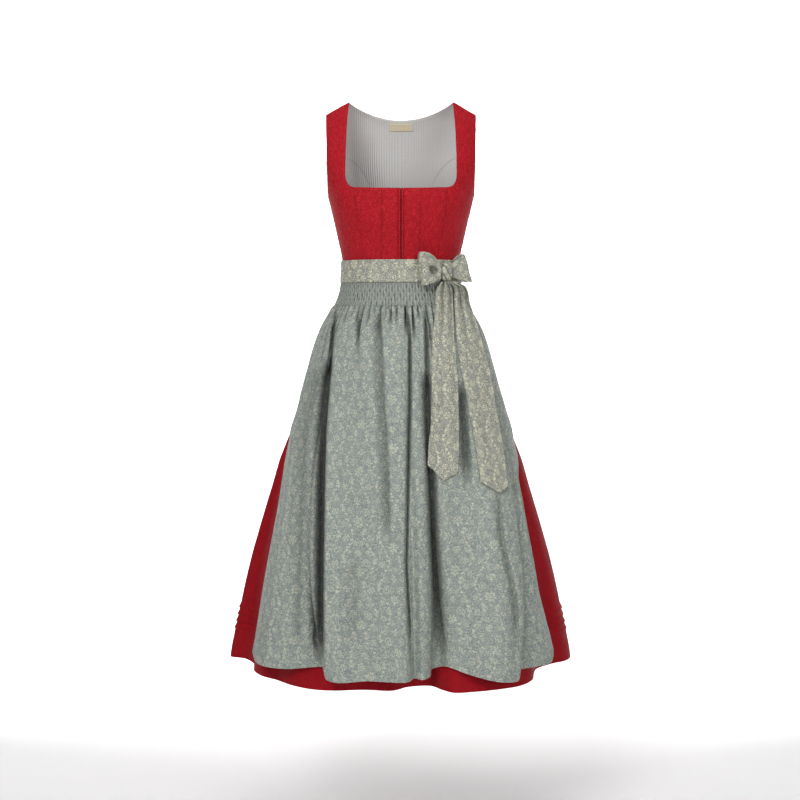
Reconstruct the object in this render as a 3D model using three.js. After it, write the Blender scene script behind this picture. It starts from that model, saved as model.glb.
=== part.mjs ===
// A dirndl for size EU 36, filled out as it is worn, with nobody in it: a red bodice with a
// wide square neck, a long red skirt with four tucks above the hem, a pale blue apron with a
// smocked head, and a cream sash tied in a bow on the wearer's left.
// Millimetres, +Z up, the front faces -Y and the wearer's left is +X. The origin lies between
// the two neck points, on the line that rests on the shoulders.
import * as THREE from "three";

// ---------------------------------------------------------------- driving dimensions
const WAIST_LEVEL = -360; // the seam between bodice and skirt
const HEM_LEVEL = -1168; // the skirt's hem at the sides
const UNDERARM_LEVEL = -198;
const NECK_HALF_WIDTH = 108; // from the middle to a neck point
const SHOULDER_HALF_WIDTH = 157; // from the middle to a shoulder tip
const SHOULDER_DROP = 27; // how far the tip lies below the neck point
const NECKLINE_LEVEL = -185; // the front neckline at its corners
const NECKLINE_DIP = 2.5; // its middle lies this much lower
const BACK_NECK_DEPTH = 30; // the back neckline's scoop

const CLOTH = 1.6; // bodice and skirt cloth
const LINING_CLOTH = 1;
const LABEL_CLOTH = 1;
const APRON_CLOTH = 1.4;
const SASH_CLOTH = 1.6; // doubled jacquard
const SEAM_GAP = 0.3; // between neighbouring pieces
const EDGE_INSET = SEAM_GAP / 2 + 0.02; // how far each piece stops short of its seam line

const PIPING_HALF_WIDTH = 2.8; // the two rolled edges that meet down the front
const PIPING_HALF_DEPTH = 2.1;
const PIPING_OFFSET = PIPING_HALF_WIDTH + SEAM_GAP / 2; // from the middle to a roll's centre
const CLOSURE_HALF_GAP = PIPING_OFFSET + PIPING_HALF_WIDTH + SEAM_GAP / 2;
const FRONT_SEAM_X = 39; // the straight seam in each front
const BACK_SEAM_TOP = -99; // where the curved back seam reaches the armhole

const TUCKS = 4;
const TUCK_PITCH = 14.7;
const FIRST_TUCK = 62; // the lowest tuck's edge above the hem
const TUCK_PROUD = 2.8;
const TUCK_FOLD = 1; // the height over which a tuck's edge falls back to the cloth

const SASH_TOP = -331;
const SASH_BOTTOM = -376.5;
const HEADER_LEVELS = [-366, -377.5, -381, -402, -424]; // the smocked head starts under the sash
const HEADER_TOP = HEADER_LEVELS[0];
const HEADER_INSIDE_LEVELS = [HEADER_TOP, -377.5, -402, -424];
const HEADER_BOTTOM = HEADER_LEVELS.at(-1);
const SMOCKING_RIBS = 76;
const RIB_HEIGHT = 1.6;

const KNOT_TURN = 42.7; // degrees from the front, on the wearer's left
const KNOT = { halfWidth: 14, halfHeight: 20.5, halfDepth: 12, level: -355, standOff: 0.6 };
const TAIL_CLEARANCE = 3.4; // between a hanging sash end and the apron's foremost folds
const TAIL_STEEPEST = 0.7; // how steeply a sash end may turn away across its width

// ---------------------------------------------------------------- tables
// The bodice's outer sections from the waist up to the shoulder line. Half is half the width,
// front and back are depths, square is the exponent that squares the section off, and slope is
// the share of the shoulder's drop. The last row only sets the direction over the shoulder.
const BODICE_SECTIONS = [
  { height: -360, half: 122, front: 90, back: 84, square: 1.0, slope: 0 },
  { height: -326, half: 123.3, front: 93, back: 86, square: 0.98, slope: 0 },
  { height: -290, half: 131, front: 100, back: 90, square: 0.95, slope: 0 },
  { height: -245, half: 141, front: 112, back: 96, square: 0.9, slope: 0 },
  { height: -198, half: 152.5, front: 118, back: 102, square: 0.86, slope: 0 },
  { height: -160, half: 163, front: 111, back: 104, square: 0.86, slope: 0 },
  { height: -120, half: 169, front: 96, back: 100, square: 0.86, slope: 0.1 },
  { height: -75, half: 168, front: 72, back: 87, square: 0.86, slope: 0.4 },
  { height: -30, half: 165, front: 42, back: 62, square: 0.86, slope: 0.8 },
  { height: -8, half: 164, front: 20, back: 31, square: 0.86, slope: 0.95 },
  { height: 0, half: 164, front: 0, back: 0, square: 0.86, slope: 1 },
  { height: -8, half: 164, front: -31, back: -20, square: 0.86, slope: 0.95 },
];

// The armhole's edge, in degrees round from the side seam towards the front and the back.
const ARMHOLE = [
  { height: -198, front: 0, back: 0 },
  { height: -190, front: 9, back: 8 },
  { height: -172, front: 18, back: 15 },
  { height: -142, front: 25, back: 20 },
  { height: -108, front: 26, back: 22 },
  { height: -70, front: 24, back: 22 },
  { height: -30, front: 20, back: 20 },
  { height: 0, front: 18, back: 18 },
];

// The front strap's inner edge from the neckline's corner up, and the two curved seams.
const STRAP_EDGE = [
  { height: -185, x: 96 },
  { height: -182.5, x: 103 },
  { height: -177, x: 109 },
  { height: -167, x: 113 },
  { height: -148, x: 114 },
  { height: -86, x: 113 },
  { height: -44, x: 111.5 },
  { height: 0, x: NECK_HALF_WIDTH },
];
const FRONT_PRINCESS_SEAM = [
  { height: -360, x: 70 },
  { height: -332, x: 74 },
  { height: -280, x: 84 },
  { height: -230, x: 92 },
  { height: -185, x: 96 },
];
const BACK_PRINCESS_SEAM = [
  { height: -360, x: 50 },
  { height: -300, x: 50 },
  { height: -240, x: 53 },
  { height: -200, x: 59 },
  { height: -173, x: 67 },
  { height: -147, x: 78 },
  { height: -128, x: 91 },
  { height: -113, x: 109 },
  { height: -104, x: 130 },
  { height: BACK_SEAM_TOP, x: 158.5 },
];

// The skirt's smooth outer sections, without its folds.
const SKIRT_SECTIONS = [
  { height: -360, half: 122, front: 90, back: 84 },
  { height: -385, half: 124, front: 93, back: 87 },
  { height: -410, half: 131, front: 101, back: 95 },
  { height: -433, half: 142, front: 112, back: 107 },
  { height: -475, half: 162, front: 133, back: 129 },
  { height: -522, half: 180, front: 152, back: 149 },
  { height: -600, half: 202, front: 178, back: 175 },
  { height: -664, half: 219, front: 196, back: 194 },
  { height: -780, half: 260, front: 226, back: 226 },
  { height: -905, half: 299, front: 250, back: 256 },
  { height: -1000, half: 326, front: 264, back: 280 },
  { height: -1080, half: 345, front: 272, back: 296 },
  { height: -1168, half: 362, front: 276, back: 310 },
];

// The skirt's folds, round from the left side by the front: where each crest and valley meets
// the hem, and how much lower the hem hangs there.
const SKIRT_FOLDS = [
  { x: -363, y: 12, drop: 0 },
  { x: -328, y: -16, drop: 0 },
  { x: -305, y: -62, drop: 2 },
  { x: -301, y: -112, drop: 4 },
  { x: -282, y: -150, drop: 6 },
  { x: -248, y: -180, drop: 8 },
  { x: -214, y: -226, drop: 8 },
  { x: -174, y: -258, drop: 8 },
  { x: -132, y: -269, drop: 8 },
  { x: -72, y: -262, drop: 8 },
  { x: -18, y: -270, drop: 8 },
  { x: 14, y: -238, drop: 8 },
  { x: 56, y: -228, drop: 8 },
  { x: 80, y: -262, drop: 8 },
  { x: 104, y: -287, drop: 8 },
  { x: 146, y: -278, drop: 8 },
  { x: 196, y: -256, drop: 8 },
  { x: 236, y: -228, drop: 8 },
  { x: 262, y: -190, drop: 6 },
  { x: 270, y: -142, drop: 4 },
  { x: 280, y: -102, drop: 2 },
  { x: 312, y: -66, drop: 0 },
  { x: 346, y: -34, drop: 0 },
  { x: 361, y: 14, drop: 0 },
  { x: 350, y: 62, drop: 0 },
  { x: 312, y: 96, drop: 0 },
  { x: 314, y: 158, drop: 0 },
  { x: 272, y: 214, drop: 0 },
  { x: 220, y: 222, drop: 0 },
  { x: 192, y: 274, drop: 0 },
  { x: 128, y: 304, drop: 0 },
  { x: 78, y: 272, drop: 0 },
  { x: 26, y: 302, drop: 0 },
  { x: -44, y: 314, drop: 0 },
  { x: -92, y: 276, drop: 0 },
  { x: -152, y: 296, drop: 0 },
  { x: -212, y: 262, drop: 0 },
  { x: -236, y: 216, drop: 0 },
  { x: -290, y: 188, drop: 0 },
  { x: -332, y: 128, drop: 0 },
  { x: -326, y: 76, drop: 0 },
];

// The apron's folds from its left edge to its right: the place round the waist that each fold
// line starts from, in degrees from the front, where it meets the hem, and its rise there.
const APRON_FOLDS = [
  { waist: -104, x: -300, y: -158, rise: 30 },
  { waist: -97, x: -287, y: -190, rise: 29 },
  { waist: -90, x: -268, y: -222, rise: 29 },
  { waist: -82, x: -229, y: -241, rise: 29 },
  { waist: -72, x: -190, y: -260, rise: 35 },
  { waist: -63, x: -150, y: -272, rise: 40 },
  { waist: -59, x: -128, y: -284, rise: 34 },
  { waist: -56, x: -145, y: -311, rise: 26 },
  { waist: -50, x: -120, y: -331, rise: 22 },
  { waist: -38, x: -65, y: -317, rise: 22 },
  { waist: -20, x: -5, y: -330, rise: 22 },
  { waist: -2, x: 16, y: -321, rise: 22 },
  { waist: 4, x: 26, y: -292, rise: 22 },
  { waist: 8, x: 41, y: -306, rise: 22 },
  { waist: 14, x: 56, y: -289, rise: 24 },
  { waist: 18, x: 60, y: -262, rise: 32 },
  { waist: 22, x: 74, y: -262, rise: 38 },
  { waist: 28, x: 92, y: -292, rise: 44 },
  { waist: 37, x: 129, y: -302, rise: 32 },
  { waist: 49, x: 181, y: -319, rise: 22 },
  { waist: 60, x: 216, y: -304, rise: 17 },
  { waist: 66, x: 229, y: -284, rise: 18 },
  { waist: 70, x: 232, y: -240, rise: 26 },
  { waist: 77, x: 264, y: -223, rise: 29 },
  { waist: 87, x: 284, y: -208, rise: 29 },
  { waist: 96, x: 300, y: -185, rise: 30 },
  { waist: 104, x: 308, y: -160, rise: 32 },
];

// How fast the apron's side edges swing forward: the share of their turn at each share of the
// fall from waist to hem. The folds in its middle swing evenly.
const APRON_EDGE_SWING = [
  { fall: 0, share: 0 },
  { fall: 0.36, share: 0.34 },
  { fall: 0.53, share: 0.75 },
  { fall: 0.72, share: 0.91 },
  { fall: 1, share: 1 },
];

// The sash's inner sections, clear of the bodice, the skirt and the apron's head.
const SASH_SECTIONS = [
  { height: -331, half: 124.2, front: 94.8, back: 86.9, square: 0.98 },
  { height: -348, half: 124.5, front: 94.8, back: 87, square: 0.985 },
  { height: -362, half: 125, front: 95.2, back: 87.2, square: 0.99 },
  { height: -376.5, half: 126.1, front: 96, back: 88.2, square: 1 },
];

// The bow's loops: where the middle of the folded ribbon starts at the knot and where it ends,
// with its upper and lower edges, and how far the front and the back ply bulge.
const BOW_LOOPS = [
  {
    name: "bow_loop_right",
    near: { top: [82.3, -90.6, -343], bottom: [81, -91, -370] },
    far: { top: [33, -107, -316.5], bottom: [41, -108, -384] },
    facing: [0.3, -0.95, 0],
    bulge: { front: 11, back: 4, dent: 5 },
  },
  {
    name: "bow_loop_left",
    near: { top: [103.6, -75, -339], bottom: [105.4, -73.8, -366] },
    far: { top: [129, -55, -318], bottom: [145, -46, -375] },
    facing: [0.58, -0.82, 0],
    bulge: { front: 9, back: 4, dent: 1.5 },
  },
];

// The sash's hanging ends: the left and right edges at each height, as seen from the front.
const RIGHT_TAIL = [
  { height: -376.1, left: 82, right: 95 },
  { height: -386, left: 73.5, right: 101 },
  { height: -399, left: 70.5, right: 105 },
  { height: -432, left: 70, right: 106 },
  { height: -494, left: 63.5, right: 108 },
  { height: -560, left: 61.5, right: 113 },
  { height: -644, left: 59.5, right: 115 },
  { height: -708, left: 54.5, right: 114.5 },
  { height: -780, left: 52.5, right: 111 },
];
const LEFT_TAIL = [
  { height: -376.1, left: 96.5, right: 110 },
  { height: -386, left: 107.5, right: 131 },
  { height: -423, left: 109, right: 143 },
  { height: -478, left: 113, right: 160 },
  { height: -525, left: 117, right: 173 },
  { height: -583, left: 127, right: 186 },
  { height: -626, left: 134, right: 191 },
  { height: -669, left: 143, right: 199 },
  { height: -753, left: 155, right: 210 },
  { height: -800, left: 158, right: 213 },
];
const SASH_ENDS = [
  { name: "sash_end_right", edges: RIGHT_TAIL, depth: -81, ends: [-739, -768, -753], tip: 0.52 },
  { name: "sash_end_left", edges: LEFT_TAIL, depth: -79, ends: [-771, -796, -782], tip: 0.72 },
];

// ---------------------------------------------------------------- small mathematics
const radians = THREE.MathUtils.degToRad;
const { lerp, smoothstep, clamp } = THREE.MathUtils;

/** A smooth run through a table's rows; every column is interpolated together. */
class Track {
  constructor(rows, measure = () => 1) {
    this.rows = rows;
    this.columns = Object.keys(rows[0]);
    this.knots = [0];
    for (let i = 0; i + 1 < rows.length; i++) {
      this.knots.push(this.knots[i] + measure(rows[i], rows[i + 1]));
    }
    this.length = this.knots.at(-1);
  }

  row(i) {
    return this.rows[clamp(i, 0, this.rows.length - 1)];
  }

  knot(i) {
    const last = this.knots.length - 1;
    if (i < 0) return this.knots[0] - (this.knots[1] - this.knots[0]);
    if (i > last) return this.knots[last] + (this.knots[last] - this.knots[last - 1]);
    return this.knots[i];
  }

  /** The interpolated row at a distance along the track. */
  at(distance) {
    const d = clamp(distance, 0, this.length);
    const passed = this.knots.findIndex((k) => k > d);
    const i = (passed < 0 ? this.knots.length - 1 : passed) - 1;
    const [k0, k1, k2, k3] = [i - 1, i, i + 1, i + 2].map((j) => this.knot(j));
    const [r0, r1, r2, r3] = [i - 1, i, i + 1, i + 2].map((j) => this.row(j));
    const span = k2 - k1;
    const t = (d - k1) / span;
    const out = {};
    for (const c of this.columns) {
      const m1 = ((r2[c] - r0[c]) / (k2 - k0)) * span;
      const m2 = ((r3[c] - r1[c]) / (k3 - k1)) * span;
      out[c] =
        (2 * t ** 3 - 3 * t ** 2 + 1) * r1[c] +
        (t ** 3 - 2 * t ** 2 + t) * m1 +
        (3 * t ** 2 - 2 * t ** 3) * r2[c] +
        (t ** 3 - t ** 2) * m2;
    }
    return out;
  }

  /** The distance at which a rising or falling column reaches a value, up to a last distance. */
  find(column, value, end = this.length) {
    let low = 0;
    let high = end;
    const rising = this.at(high)[column] > this.at(low)[column];
    for (let i = 0; i < 48; i++) {
      const middle = (low + high) / 2;
      if (this.at(middle)[column] < value === rising) low = middle;
      else high = middle;
    }
    return (low + high) / 2;
  }
}

const byHeight = (a, b) => Math.abs(b.height - a.height);
const steps = (n) => Array.from({ length: n + 1 }, (_, i) => i / n);

/** A grid of points: rows from top to bottom, each with the same number of columns. */
function grid(rows, columns, point) {
  return rows.map((r) => columns.map((c) => point(c, r)));
}

/** Unit normals of a grid from its neighbours, pointing to the right-hand side of its rows. */
function gridNormals(points, closed) {
  const last = points[0].length - 1;
  const column = (i) => (closed ? (i + last + 1) % (last + 1) : clamp(i, 0, last));
  return points.map((row, j) =>
    row.map((_, i) => {
      const across = row[column(i + 1)].clone().sub(row[column(i - 1)]);
      const above = points[Math.max(j - 1, 0)][i];
      const below = points[Math.min(j + 1, points.length - 1)][i];
      return across.cross(above.clone().sub(below)).normalize();
    }),
  );
}

const moved = (points, normals, distance) =>
  points.map((row, j) => row.map((p, i) => p.clone().addScaledVector(normals[j][i], distance)));

/** How far along a run of vertices each one lies, as shares of the run's length. */
function shares(run, positions) {
  const point = (id) => new THREE.Vector3().fromArray(positions, 3 * id);
  const lengths = [0];
  for (let i = 1; i < run.length; i++) {
    lengths.push(lengths[i - 1] + point(run[i]).distanceTo(point(run[i - 1])));
  }
  return lengths.map((l) => l / lengths.at(-1));
}

/** Triangles between two runs of vertices of unlike length, matched by their share of the way. */
function stitch(a, b, positions, out) {
  const [shareA, shareB] = [shares(a, positions), shares(b, positions)];
  let i = 0;
  let j = 0;
  while (i < a.length - 1 || j < b.length - 1) {
    if (j === b.length - 1 || (i < a.length - 1 && shareA[i + 1] <= shareB[j + 1] + 1e-6)) {
      out.push(a[i], a[i + 1], b[j]);
      i += 1;
    } else {
      out.push(a[i], b[j + 1], b[j]);
      j += 1;
    }
  }
}

const MUCH_SHORTER = 0.85; // a quad is split the other way only where that is much shorter

/** A closed wall between an outer and an inner grid; the two may have unlike numbers of points. */
function wall(outer, inner, closed = false) {
  const positions = [];
  const index = [];
  const number = (points) =>
    points.map((row) => row.map((p) => positions.push(p.x, p.y, p.z) / 3 - 1));
  const face = (points, ids, flip) => {
    const n = ids[0].length;
    for (let j = 0; j + 1 < ids.length; j++) {
      for (let i = 0; i < (closed ? n : n - 1); i++) {
        const k = (i + 1) % n;
        const [a, b, c, d] = [ids[j][i], ids[j][k], ids[j + 1][k], ids[j + 1][i]];
        const usual = points[j][i].distanceTo(points[j + 1][k]);
        const other = points[j][k].distanceTo(points[j + 1][i]);
        const split = other < usual * MUCH_SHORTER ? [a, d, b, b, d, c] : [a, c, b, a, d, c];
        index.push(...(flip ? split.reverse() : split));
      }
    }
  };
  const [o, n] = [number(outer), number(inner)];
  face(outer, o, false);
  face(inner, n, true);
  const loop = (row) => (closed ? [...row, row[0]] : row);
  stitch(loop(o[0]), loop(n[0]), positions, index);
  stitch(loop(n.at(-1)), loop(o.at(-1)), positions, index);
  if (!closed) {
    stitch(n.map((row) => row[0]), o.map((row) => row[0]), positions, index);
    stitch(o.map((row) => row.at(-1)), n.map((row) => row.at(-1)), positions, index);
  }
  const geometry = new THREE.BufferGeometry();
  geometry.setAttribute("position", new THREE.Float32BufferAttribute(positions, 3));
  geometry.setIndex(index);
  return facingOut(geometry);
}

/** Turns a closed geometry the right way round if its signed volume is negative. */
function facingOut(geometry) {
  const p = geometry.attributes.position;
  const ids = geometry.index.array;
  const [a, b, c] = [new THREE.Vector3(), new THREE.Vector3(), new THREE.Vector3()];
  let volume = 0;
  for (let i = 0; i < ids.length; i += 3) {
    a.fromBufferAttribute(p, ids[i]);
    b.fromBufferAttribute(p, ids[i + 1]);
    c.fromBufferAttribute(p, ids[i + 2]);
    volume += a.dot(b.cross(c));
  }
  if (volume < 0) geometry.setIndex(Array.from(ids).reverse());
  geometry.computeVertexNormals();
  return geometry;
}

/** A step from a border point into the sheet, at right angles to the border there. */
function inward(point, inside, before, after, distance) {
  const border = after.clone().sub(before).normalize();
  const step = inside.clone().sub(point);
  return step.addScaledVector(border, -step.dot(border)).setLength(distance);
}

/** Draws a sheet's outermost rows and columns in, so that it stops short of its seam lines. */
function inset(points, distance) {
  const [m, n] = [points.length - 1, points[0].length - 1];
  return points.map((row, j) =>
    row.map((p, i) => {
      const out = p.clone();
      if (i === 0 || i === n) {
        const [before, after] = [points[Math.max(j - 1, 0)][i], points[Math.min(j + 1, m)][i]];
        out.add(inward(p, row[i === 0 ? 1 : n - 1], before, after, distance));
      }
      if (j === 0 || j === m) {
        const [before, after] = [row[Math.max(i - 1, 0)], row[Math.min(i + 1, n)]];
        out.add(inward(p, points[j === 0 ? 1 : m - 1][i], before, after, distance));
      }
      return out;
    }),
  );
}

// ---------------------------------------------------------------- materials and the group
const cloth = (hex, roughness = 0.85) =>
  new THREE.MeshStandardMaterial({ color: hex, roughness, metalness: 0 });
const MATERIALS = {
  bodice: cloth(0xa82630),
  skirt: cloth(0x8c1020),
  lining: cloth(0xb4b2ae),
  apron: cloth(0x93998f),
  sash: cloth(0xb5b3a2),
  label: cloth(0xcfc4a4),
};

const dirndl = new THREE.Group();
dirndl.name = "dirndl";

function add(name, geometry, material) {
  const mesh = new THREE.Mesh(geometry, MATERIALS[material]);
  mesh.name = name;
  dirndl.add(mesh);
  return mesh;
}

/** Where a ray along Y first meets some meshes, as a y, or null where it meets none. */
function meets(meshes, x, z, startY, direction) {
  const ray = new THREE.Raycaster(new THREE.Vector3(x, startY, z), new THREE.Vector3(0, direction, 0));
  const hits = ray.intersectObjects(meshes);
  return hits.length > 0 ? hits[0].point.y : null;
}

// ---------------------------------------------------------------- the bodice's surface
const bodice = new Track(BODICE_SECTIONS, (a, b) =>
  Math.hypot(b.height - a.height, b.front - a.front, b.half - a.half),
);
const SHOULDER = bodice.knots[BODICE_SECTIONS.length - 2]; // the shoulder line on the track
const alongAt = (height) => bodice.find("height", height, SHOULDER);

/** A point of the bodice's outer surface: an angle from the front and a place up the track. */
function bodicePoint({ angle, along }) {
  const s = bodice.at(along);
  const [side, ahead] = [Math.sin(angle), Math.cos(angle)];
  const depth = ahead > 0 ? -s.front : s.back;
  const x = s.half * Math.sign(side) * Math.abs(side) ** s.square;
  const slant = Math.max(0, Math.abs(x) - NECK_HALF_WIDTH) / (SHOULDER_HALF_WIDTH - NECK_HALF_WIDTH);
  return new THREE.Vector3(
    x,
    depth * Math.abs(ahead) ** s.square,
    s.height - slant * SHOULDER_DROP * s.slope,
  );
}

function bodiceNormal({ angle, along }) {
  const h = 1e-3;
  const dAngle = bodicePoint({ angle: angle + h, along }).sub(bodicePoint({ angle: angle - h, along }));
  const dAlong = bodicePoint({ angle, along: along + h }).sub(bodicePoint({ angle, along: along - h }));
  return dAngle.cross(dAlong).normalize();
}

/** The surface place of a point given by its distance from the middle and its height. */
function place(x, height, onBack = false) {
  const along = alongAt(height);
  const s = bodice.at(along);
  const angle = Math.asin(clamp(Math.abs(x) / s.half, 0, 1) ** (1 / s.square));
  return { angle: (x < 0 ? -1 : 1) * (onBack ? Math.PI - angle : angle), along };
}

/** Samples a table of heights and distances as surface places, on the right-hand side. */
function seamPlaces(rows, count, onBack = false) {
  const track = new Track(rows, (a, b) => Math.hypot(b.height - a.height, b.x - a.x));
  return steps(count).map((t) => {
    const r = track.at(t * track.length);
    return place(r.x, r.height, onBack);
  });
}

const armhole = new Track(ARMHOLE, byHeight);
const ARMHOLE_CROWDING = 1.5; // the curve under the arm gets the closest points

function armholePlaces(from, to, count, side) {
  return steps(count).map((t) => {
    const height = lerp(from, to, t ** (from === UNDERARM_LEVEL ? ARMHOLE_CROWDING : 1));
    const row = armhole.at(armhole.find("height", height));
    const turn = radians(row[side]);
    return {
      angle: Math.PI / 2 + (side === "front" ? -turn : turn),
      along: alongAt(height),
    };
  });
}

const straightPlaces = (a, b, count) =>
  steps(count).map((t) => ({ angle: lerp(a.angle, b.angle, t), along: lerp(a.along, b.along, t) }));

/** A Coons patch of surface places between four edges: left and right run upwards. */
function patch(left, right, bottom, top) {
  const [m, n] = [bottom.length - 1, left.length - 1];
  return left.map((_, j) =>
    bottom.map((_, i) => {
      const [s, t] = [i / m, j / n];
      const blend = (k) =>
        (1 - s) * left[j][k] + s * right[j][k] + (1 - t) * bottom[i][k] + t * top[i][k] -
        ((1 - s) * (1 - t) * left[0][k] + s * (1 - t) * right[0][k] +
          (1 - s) * t * left[n][k] + s * t * right[n][k]);
      return { angle: blend("angle"), along: blend("along") };
    }),
  );
}

/** Joins grids of surface places, whose shared edges match, into one sheet of triangles. */
function sheet(...grids) {
  const places = [];
  const triangles = [];
  const numbers = new Map();
  const numberOf = (p) => {
    const key = `${p.angle.toFixed(6)} ${p.along.toFixed(4)}`;
    if (!numbers.has(key)) numbers.set(key, places.push(p) - 1);
    return numbers.get(key);
  };
  for (const rows of grids) {
    for (let j = 0; j + 1 < rows.length; j++) {
      for (let i = 0; i + 1 < rows[j].length; i++) {
        const corners = [rows[j][i], rows[j][i + 1], rows[j + 1][i + 1], rows[j + 1][i]];
        const [a, b, c, d] = corners.map(numberOf);
        const points = corners.map(bodicePoint);
        const shorter = points[1].distanceTo(points[3]) < points[0].distanceTo(points[2]);
        triangles.push(...(shorter ? [[a, b, d], [b, c, d]] : [[a, b, c], [a, c, d]]));
      }
    }
  }
  return { places, triangles };
}

/** A sheet's border edges, as pairs of place numbers with the sheet on their left. */
function borderOf(triangles) {
  const edges = triangles.flatMap(([a, b, c]) => [[a, b], [b, c], [c, a]]);
  const known = new Set(edges.map(([a, b]) => `${a} ${b}`));
  return edges.filter(([a, b]) => !known.has(`${b} ${a}`));
}

/** A panel of cloth on the bodice's surface, from outerDepth to innerDepth below it. */
function panel({ places, triangles }, outerDepth, innerDepth) {
  const points = places.map(bodicePoint);
  const normals = places.map(bodiceNormal);
  const border = borderOf(triangles);
  const into = new Map(border.map(([a, b]) => [b, points[b].clone().sub(points[a]).normalize()]));
  const insets = new Map();
  for (const [a, b] of border) {
    const onwards = points[b].clone().sub(points[a]).normalize();
    const along = onwards.clone().add(into.get(a)).normalize();
    const step = normals[a].clone().cross(along).normalize();
    insets.set(a, step.multiplyScalar(EDGE_INSET / Math.max(0.5, along.dot(onwards))));
  }
  const face = (depth) =>
    points.map((p, i) => {
      const point = p.clone().addScaledVector(normals[i], -depth);
      return insets.has(i) ? point.add(insets.get(i)) : point;
    });
  const n = points.length;
  const geometry = new THREE.BufferGeometry();
  geometry.setFromPoints([...face(outerDepth), ...face(innerDepth)]);
  geometry.setIndex([
    ...triangles.flat(),
    ...triangles.flatMap(([a, b, c]) => [c + n, b + n, a + n]),
    ...border.flatMap(([a, b]) => [b, a, a + n, b, a + n, b + n]),
  ]);
  return facingOut(geometry);
}

const mirrored = ({ places, triangles }) => ({
  places: places.map((p) => ({ angle: -p.angle, along: p.along })),
  triangles: triangles.map(([a, b, c]) => [c, b, a]),
});

/** Adds a panel and its mirror image, the wearer's left one first. */
function addPair(name, cut, material, outerDepth = 0, innerDepth = CLOTH) {
  add(`${name}_left`, panel(cut, outerDepth, innerDepth), material);
  add(`${name}_right`, panel(mirrored(cut), outerDepth, innerDepth), material);
}

// ---------------------------------------------------------------- bodice panels
const SEAM_STEPS = 10; // rows from the waist to the neckline or the underarm
const STRAP_STEPS = 9;

const necklineHeight = (x) =>
  NECKLINE_LEVEL - NECKLINE_DIP * (1 - (x / FRONT_PRINCESS_SEAM.at(-1).x) ** 2);

/** A level run of places between two distances from the middle, at a height for each. */
const levelPlaces = (from, to, count, heightAt) =>
  steps(count).map((t) => {
    const x = lerp(from, to, t);
    return place(x, heightAt(x));
  });

const uprightPlaces = (x) =>
  steps(SEAM_STEPS).map((t) => place(x, lerp(WAIST_LEVEL, necklineHeight(x), t)));
const atWaist = () => WAIST_LEVEL;

const frontPrincess = seamPlaces(FRONT_PRINCESS_SEAM, SEAM_STEPS);
const backPrincess = [
  ...seamPlaces(BACK_PRINCESS_SEAM, SEAM_STEPS, true).slice(0, -1),
  armholePlaces(BACK_SEAM_TOP, 0, 1, "back")[0],
];
const sideSeam = steps(SEAM_STEPS).map((t) => ({
  angle: Math.PI / 2,
  along: alongAt(lerp(WAIST_LEVEL, UNDERARM_LEVEL, t)),
}));

function frontInnerPlaces() {
  const columns = 2;
  return patch(
    uprightPlaces(CLOSURE_HALF_GAP),
    uprightPlaces(FRONT_SEAM_X),
    levelPlaces(CLOSURE_HALF_GAP, FRONT_SEAM_X, columns, atWaist),
    levelPlaces(CLOSURE_HALF_GAP, FRONT_SEAM_X, columns, necklineHeight),
  );
}

function frontMiddlePlaces() {
  const columns = 3;
  const [low, high] = [FRONT_PRINCESS_SEAM[0].x, FRONT_PRINCESS_SEAM.at(-1).x];
  return patch(
    uprightPlaces(FRONT_SEAM_X),
    frontPrincess,
    levelPlaces(FRONT_SEAM_X, low, columns, atWaist),
    levelPlaces(FRONT_SEAM_X, high, columns, necklineHeight),
  );
}

/** The side front with its strap, from the princess seam and neck edge to side seam and armhole. */
function frontSidePlaces() {
  const columns = 5;
  const left = [...frontPrincess, ...seamPlaces(STRAP_EDGE, STRAP_STEPS).slice(1)];
  const right = [
    ...sideSeam,
    ...armholePlaces(UNDERARM_LEVEL, 0, STRAP_STEPS, "front").slice(1),
  ];
  return patch(
    left,
    right,
    straightPlaces(left[0], right[0], columns),
    straightPlaces(left.at(-1), right.at(-1), columns),
  );
}

function backSidePlaces() {
  const columns = 4;
  return patch(
    sideSeam,
    backPrincess,
    straightPlaces(sideSeam[0], backPrincess[0], columns),
    armholePlaces(UNDERARM_LEVEL, BACK_SEAM_TOP, columns, "back"),
  );
}

/**
 * The centre back with both back straps, from the wearer's left seam round to the right one: a
 * trunk up to where the seams turn outwards, and above it the blades, straps and neck scoop.
 */
function backCentreCut() {
  const [armholeSteps, ridgeSteps, neckSteps, turn] = [4, 3, 8, 7];
  const opposite = (p) => ({ angle: 2 * Math.PI - p.angle, along: p.along });
  const across = (half, middle) => [...half, ...middle.slice(1, -1), ...half.map(opposite).reverse()];
  const level = (p) => straightPlaces(p, opposite(p), neckSteps);
  const armholeEdge = armholePlaces(BACK_SEAM_TOP, 0, armholeSteps, "back");
  const neckPoint = place(NECK_HALF_WIDTH, 0, true);
  const scoop = steps(neckSteps).map((t) => {
    const x = lerp(NECK_HALF_WIDTH, -NECK_HALF_WIDTH, t);
    const p = place(Math.abs(x), -BACK_NECK_DEPTH * (1 - (x / NECK_HALF_WIDTH) ** 2), true);
    return x < 0 ? opposite(p) : p;
  });
  const turnRow = level(backPrincess[turn]);
  const trunkSide = backPrincess.slice(0, turn + 1);
  return sheet(
    patch(trunkSide, trunkSide.map(opposite), level(backPrincess[0]), turnRow),
    patch(
      armholeEdge,
      armholeEdge.map(opposite),
      across(backPrincess.slice(turn).reverse(), turnRow),
      across(straightPlaces(armholeEdge.at(-1), neckPoint, ridgeSteps), scoop),
    ),
  );
}

const backCentre = backCentreCut();
const backSide = sheet(backSidePlaces());
addPair("front_inner", sheet(frontInnerPlaces()), "bodice");
addPair("front_middle", sheet(frontMiddlePlaces()), "bodice");
addPair("front_side_with_strap", sheet(frontSidePlaces()), "bodice");
addPair("back_side", backSide, "bodice");
add("back_centre_with_straps", panel(backCentre, 0, CLOTH), "bodice");

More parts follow.
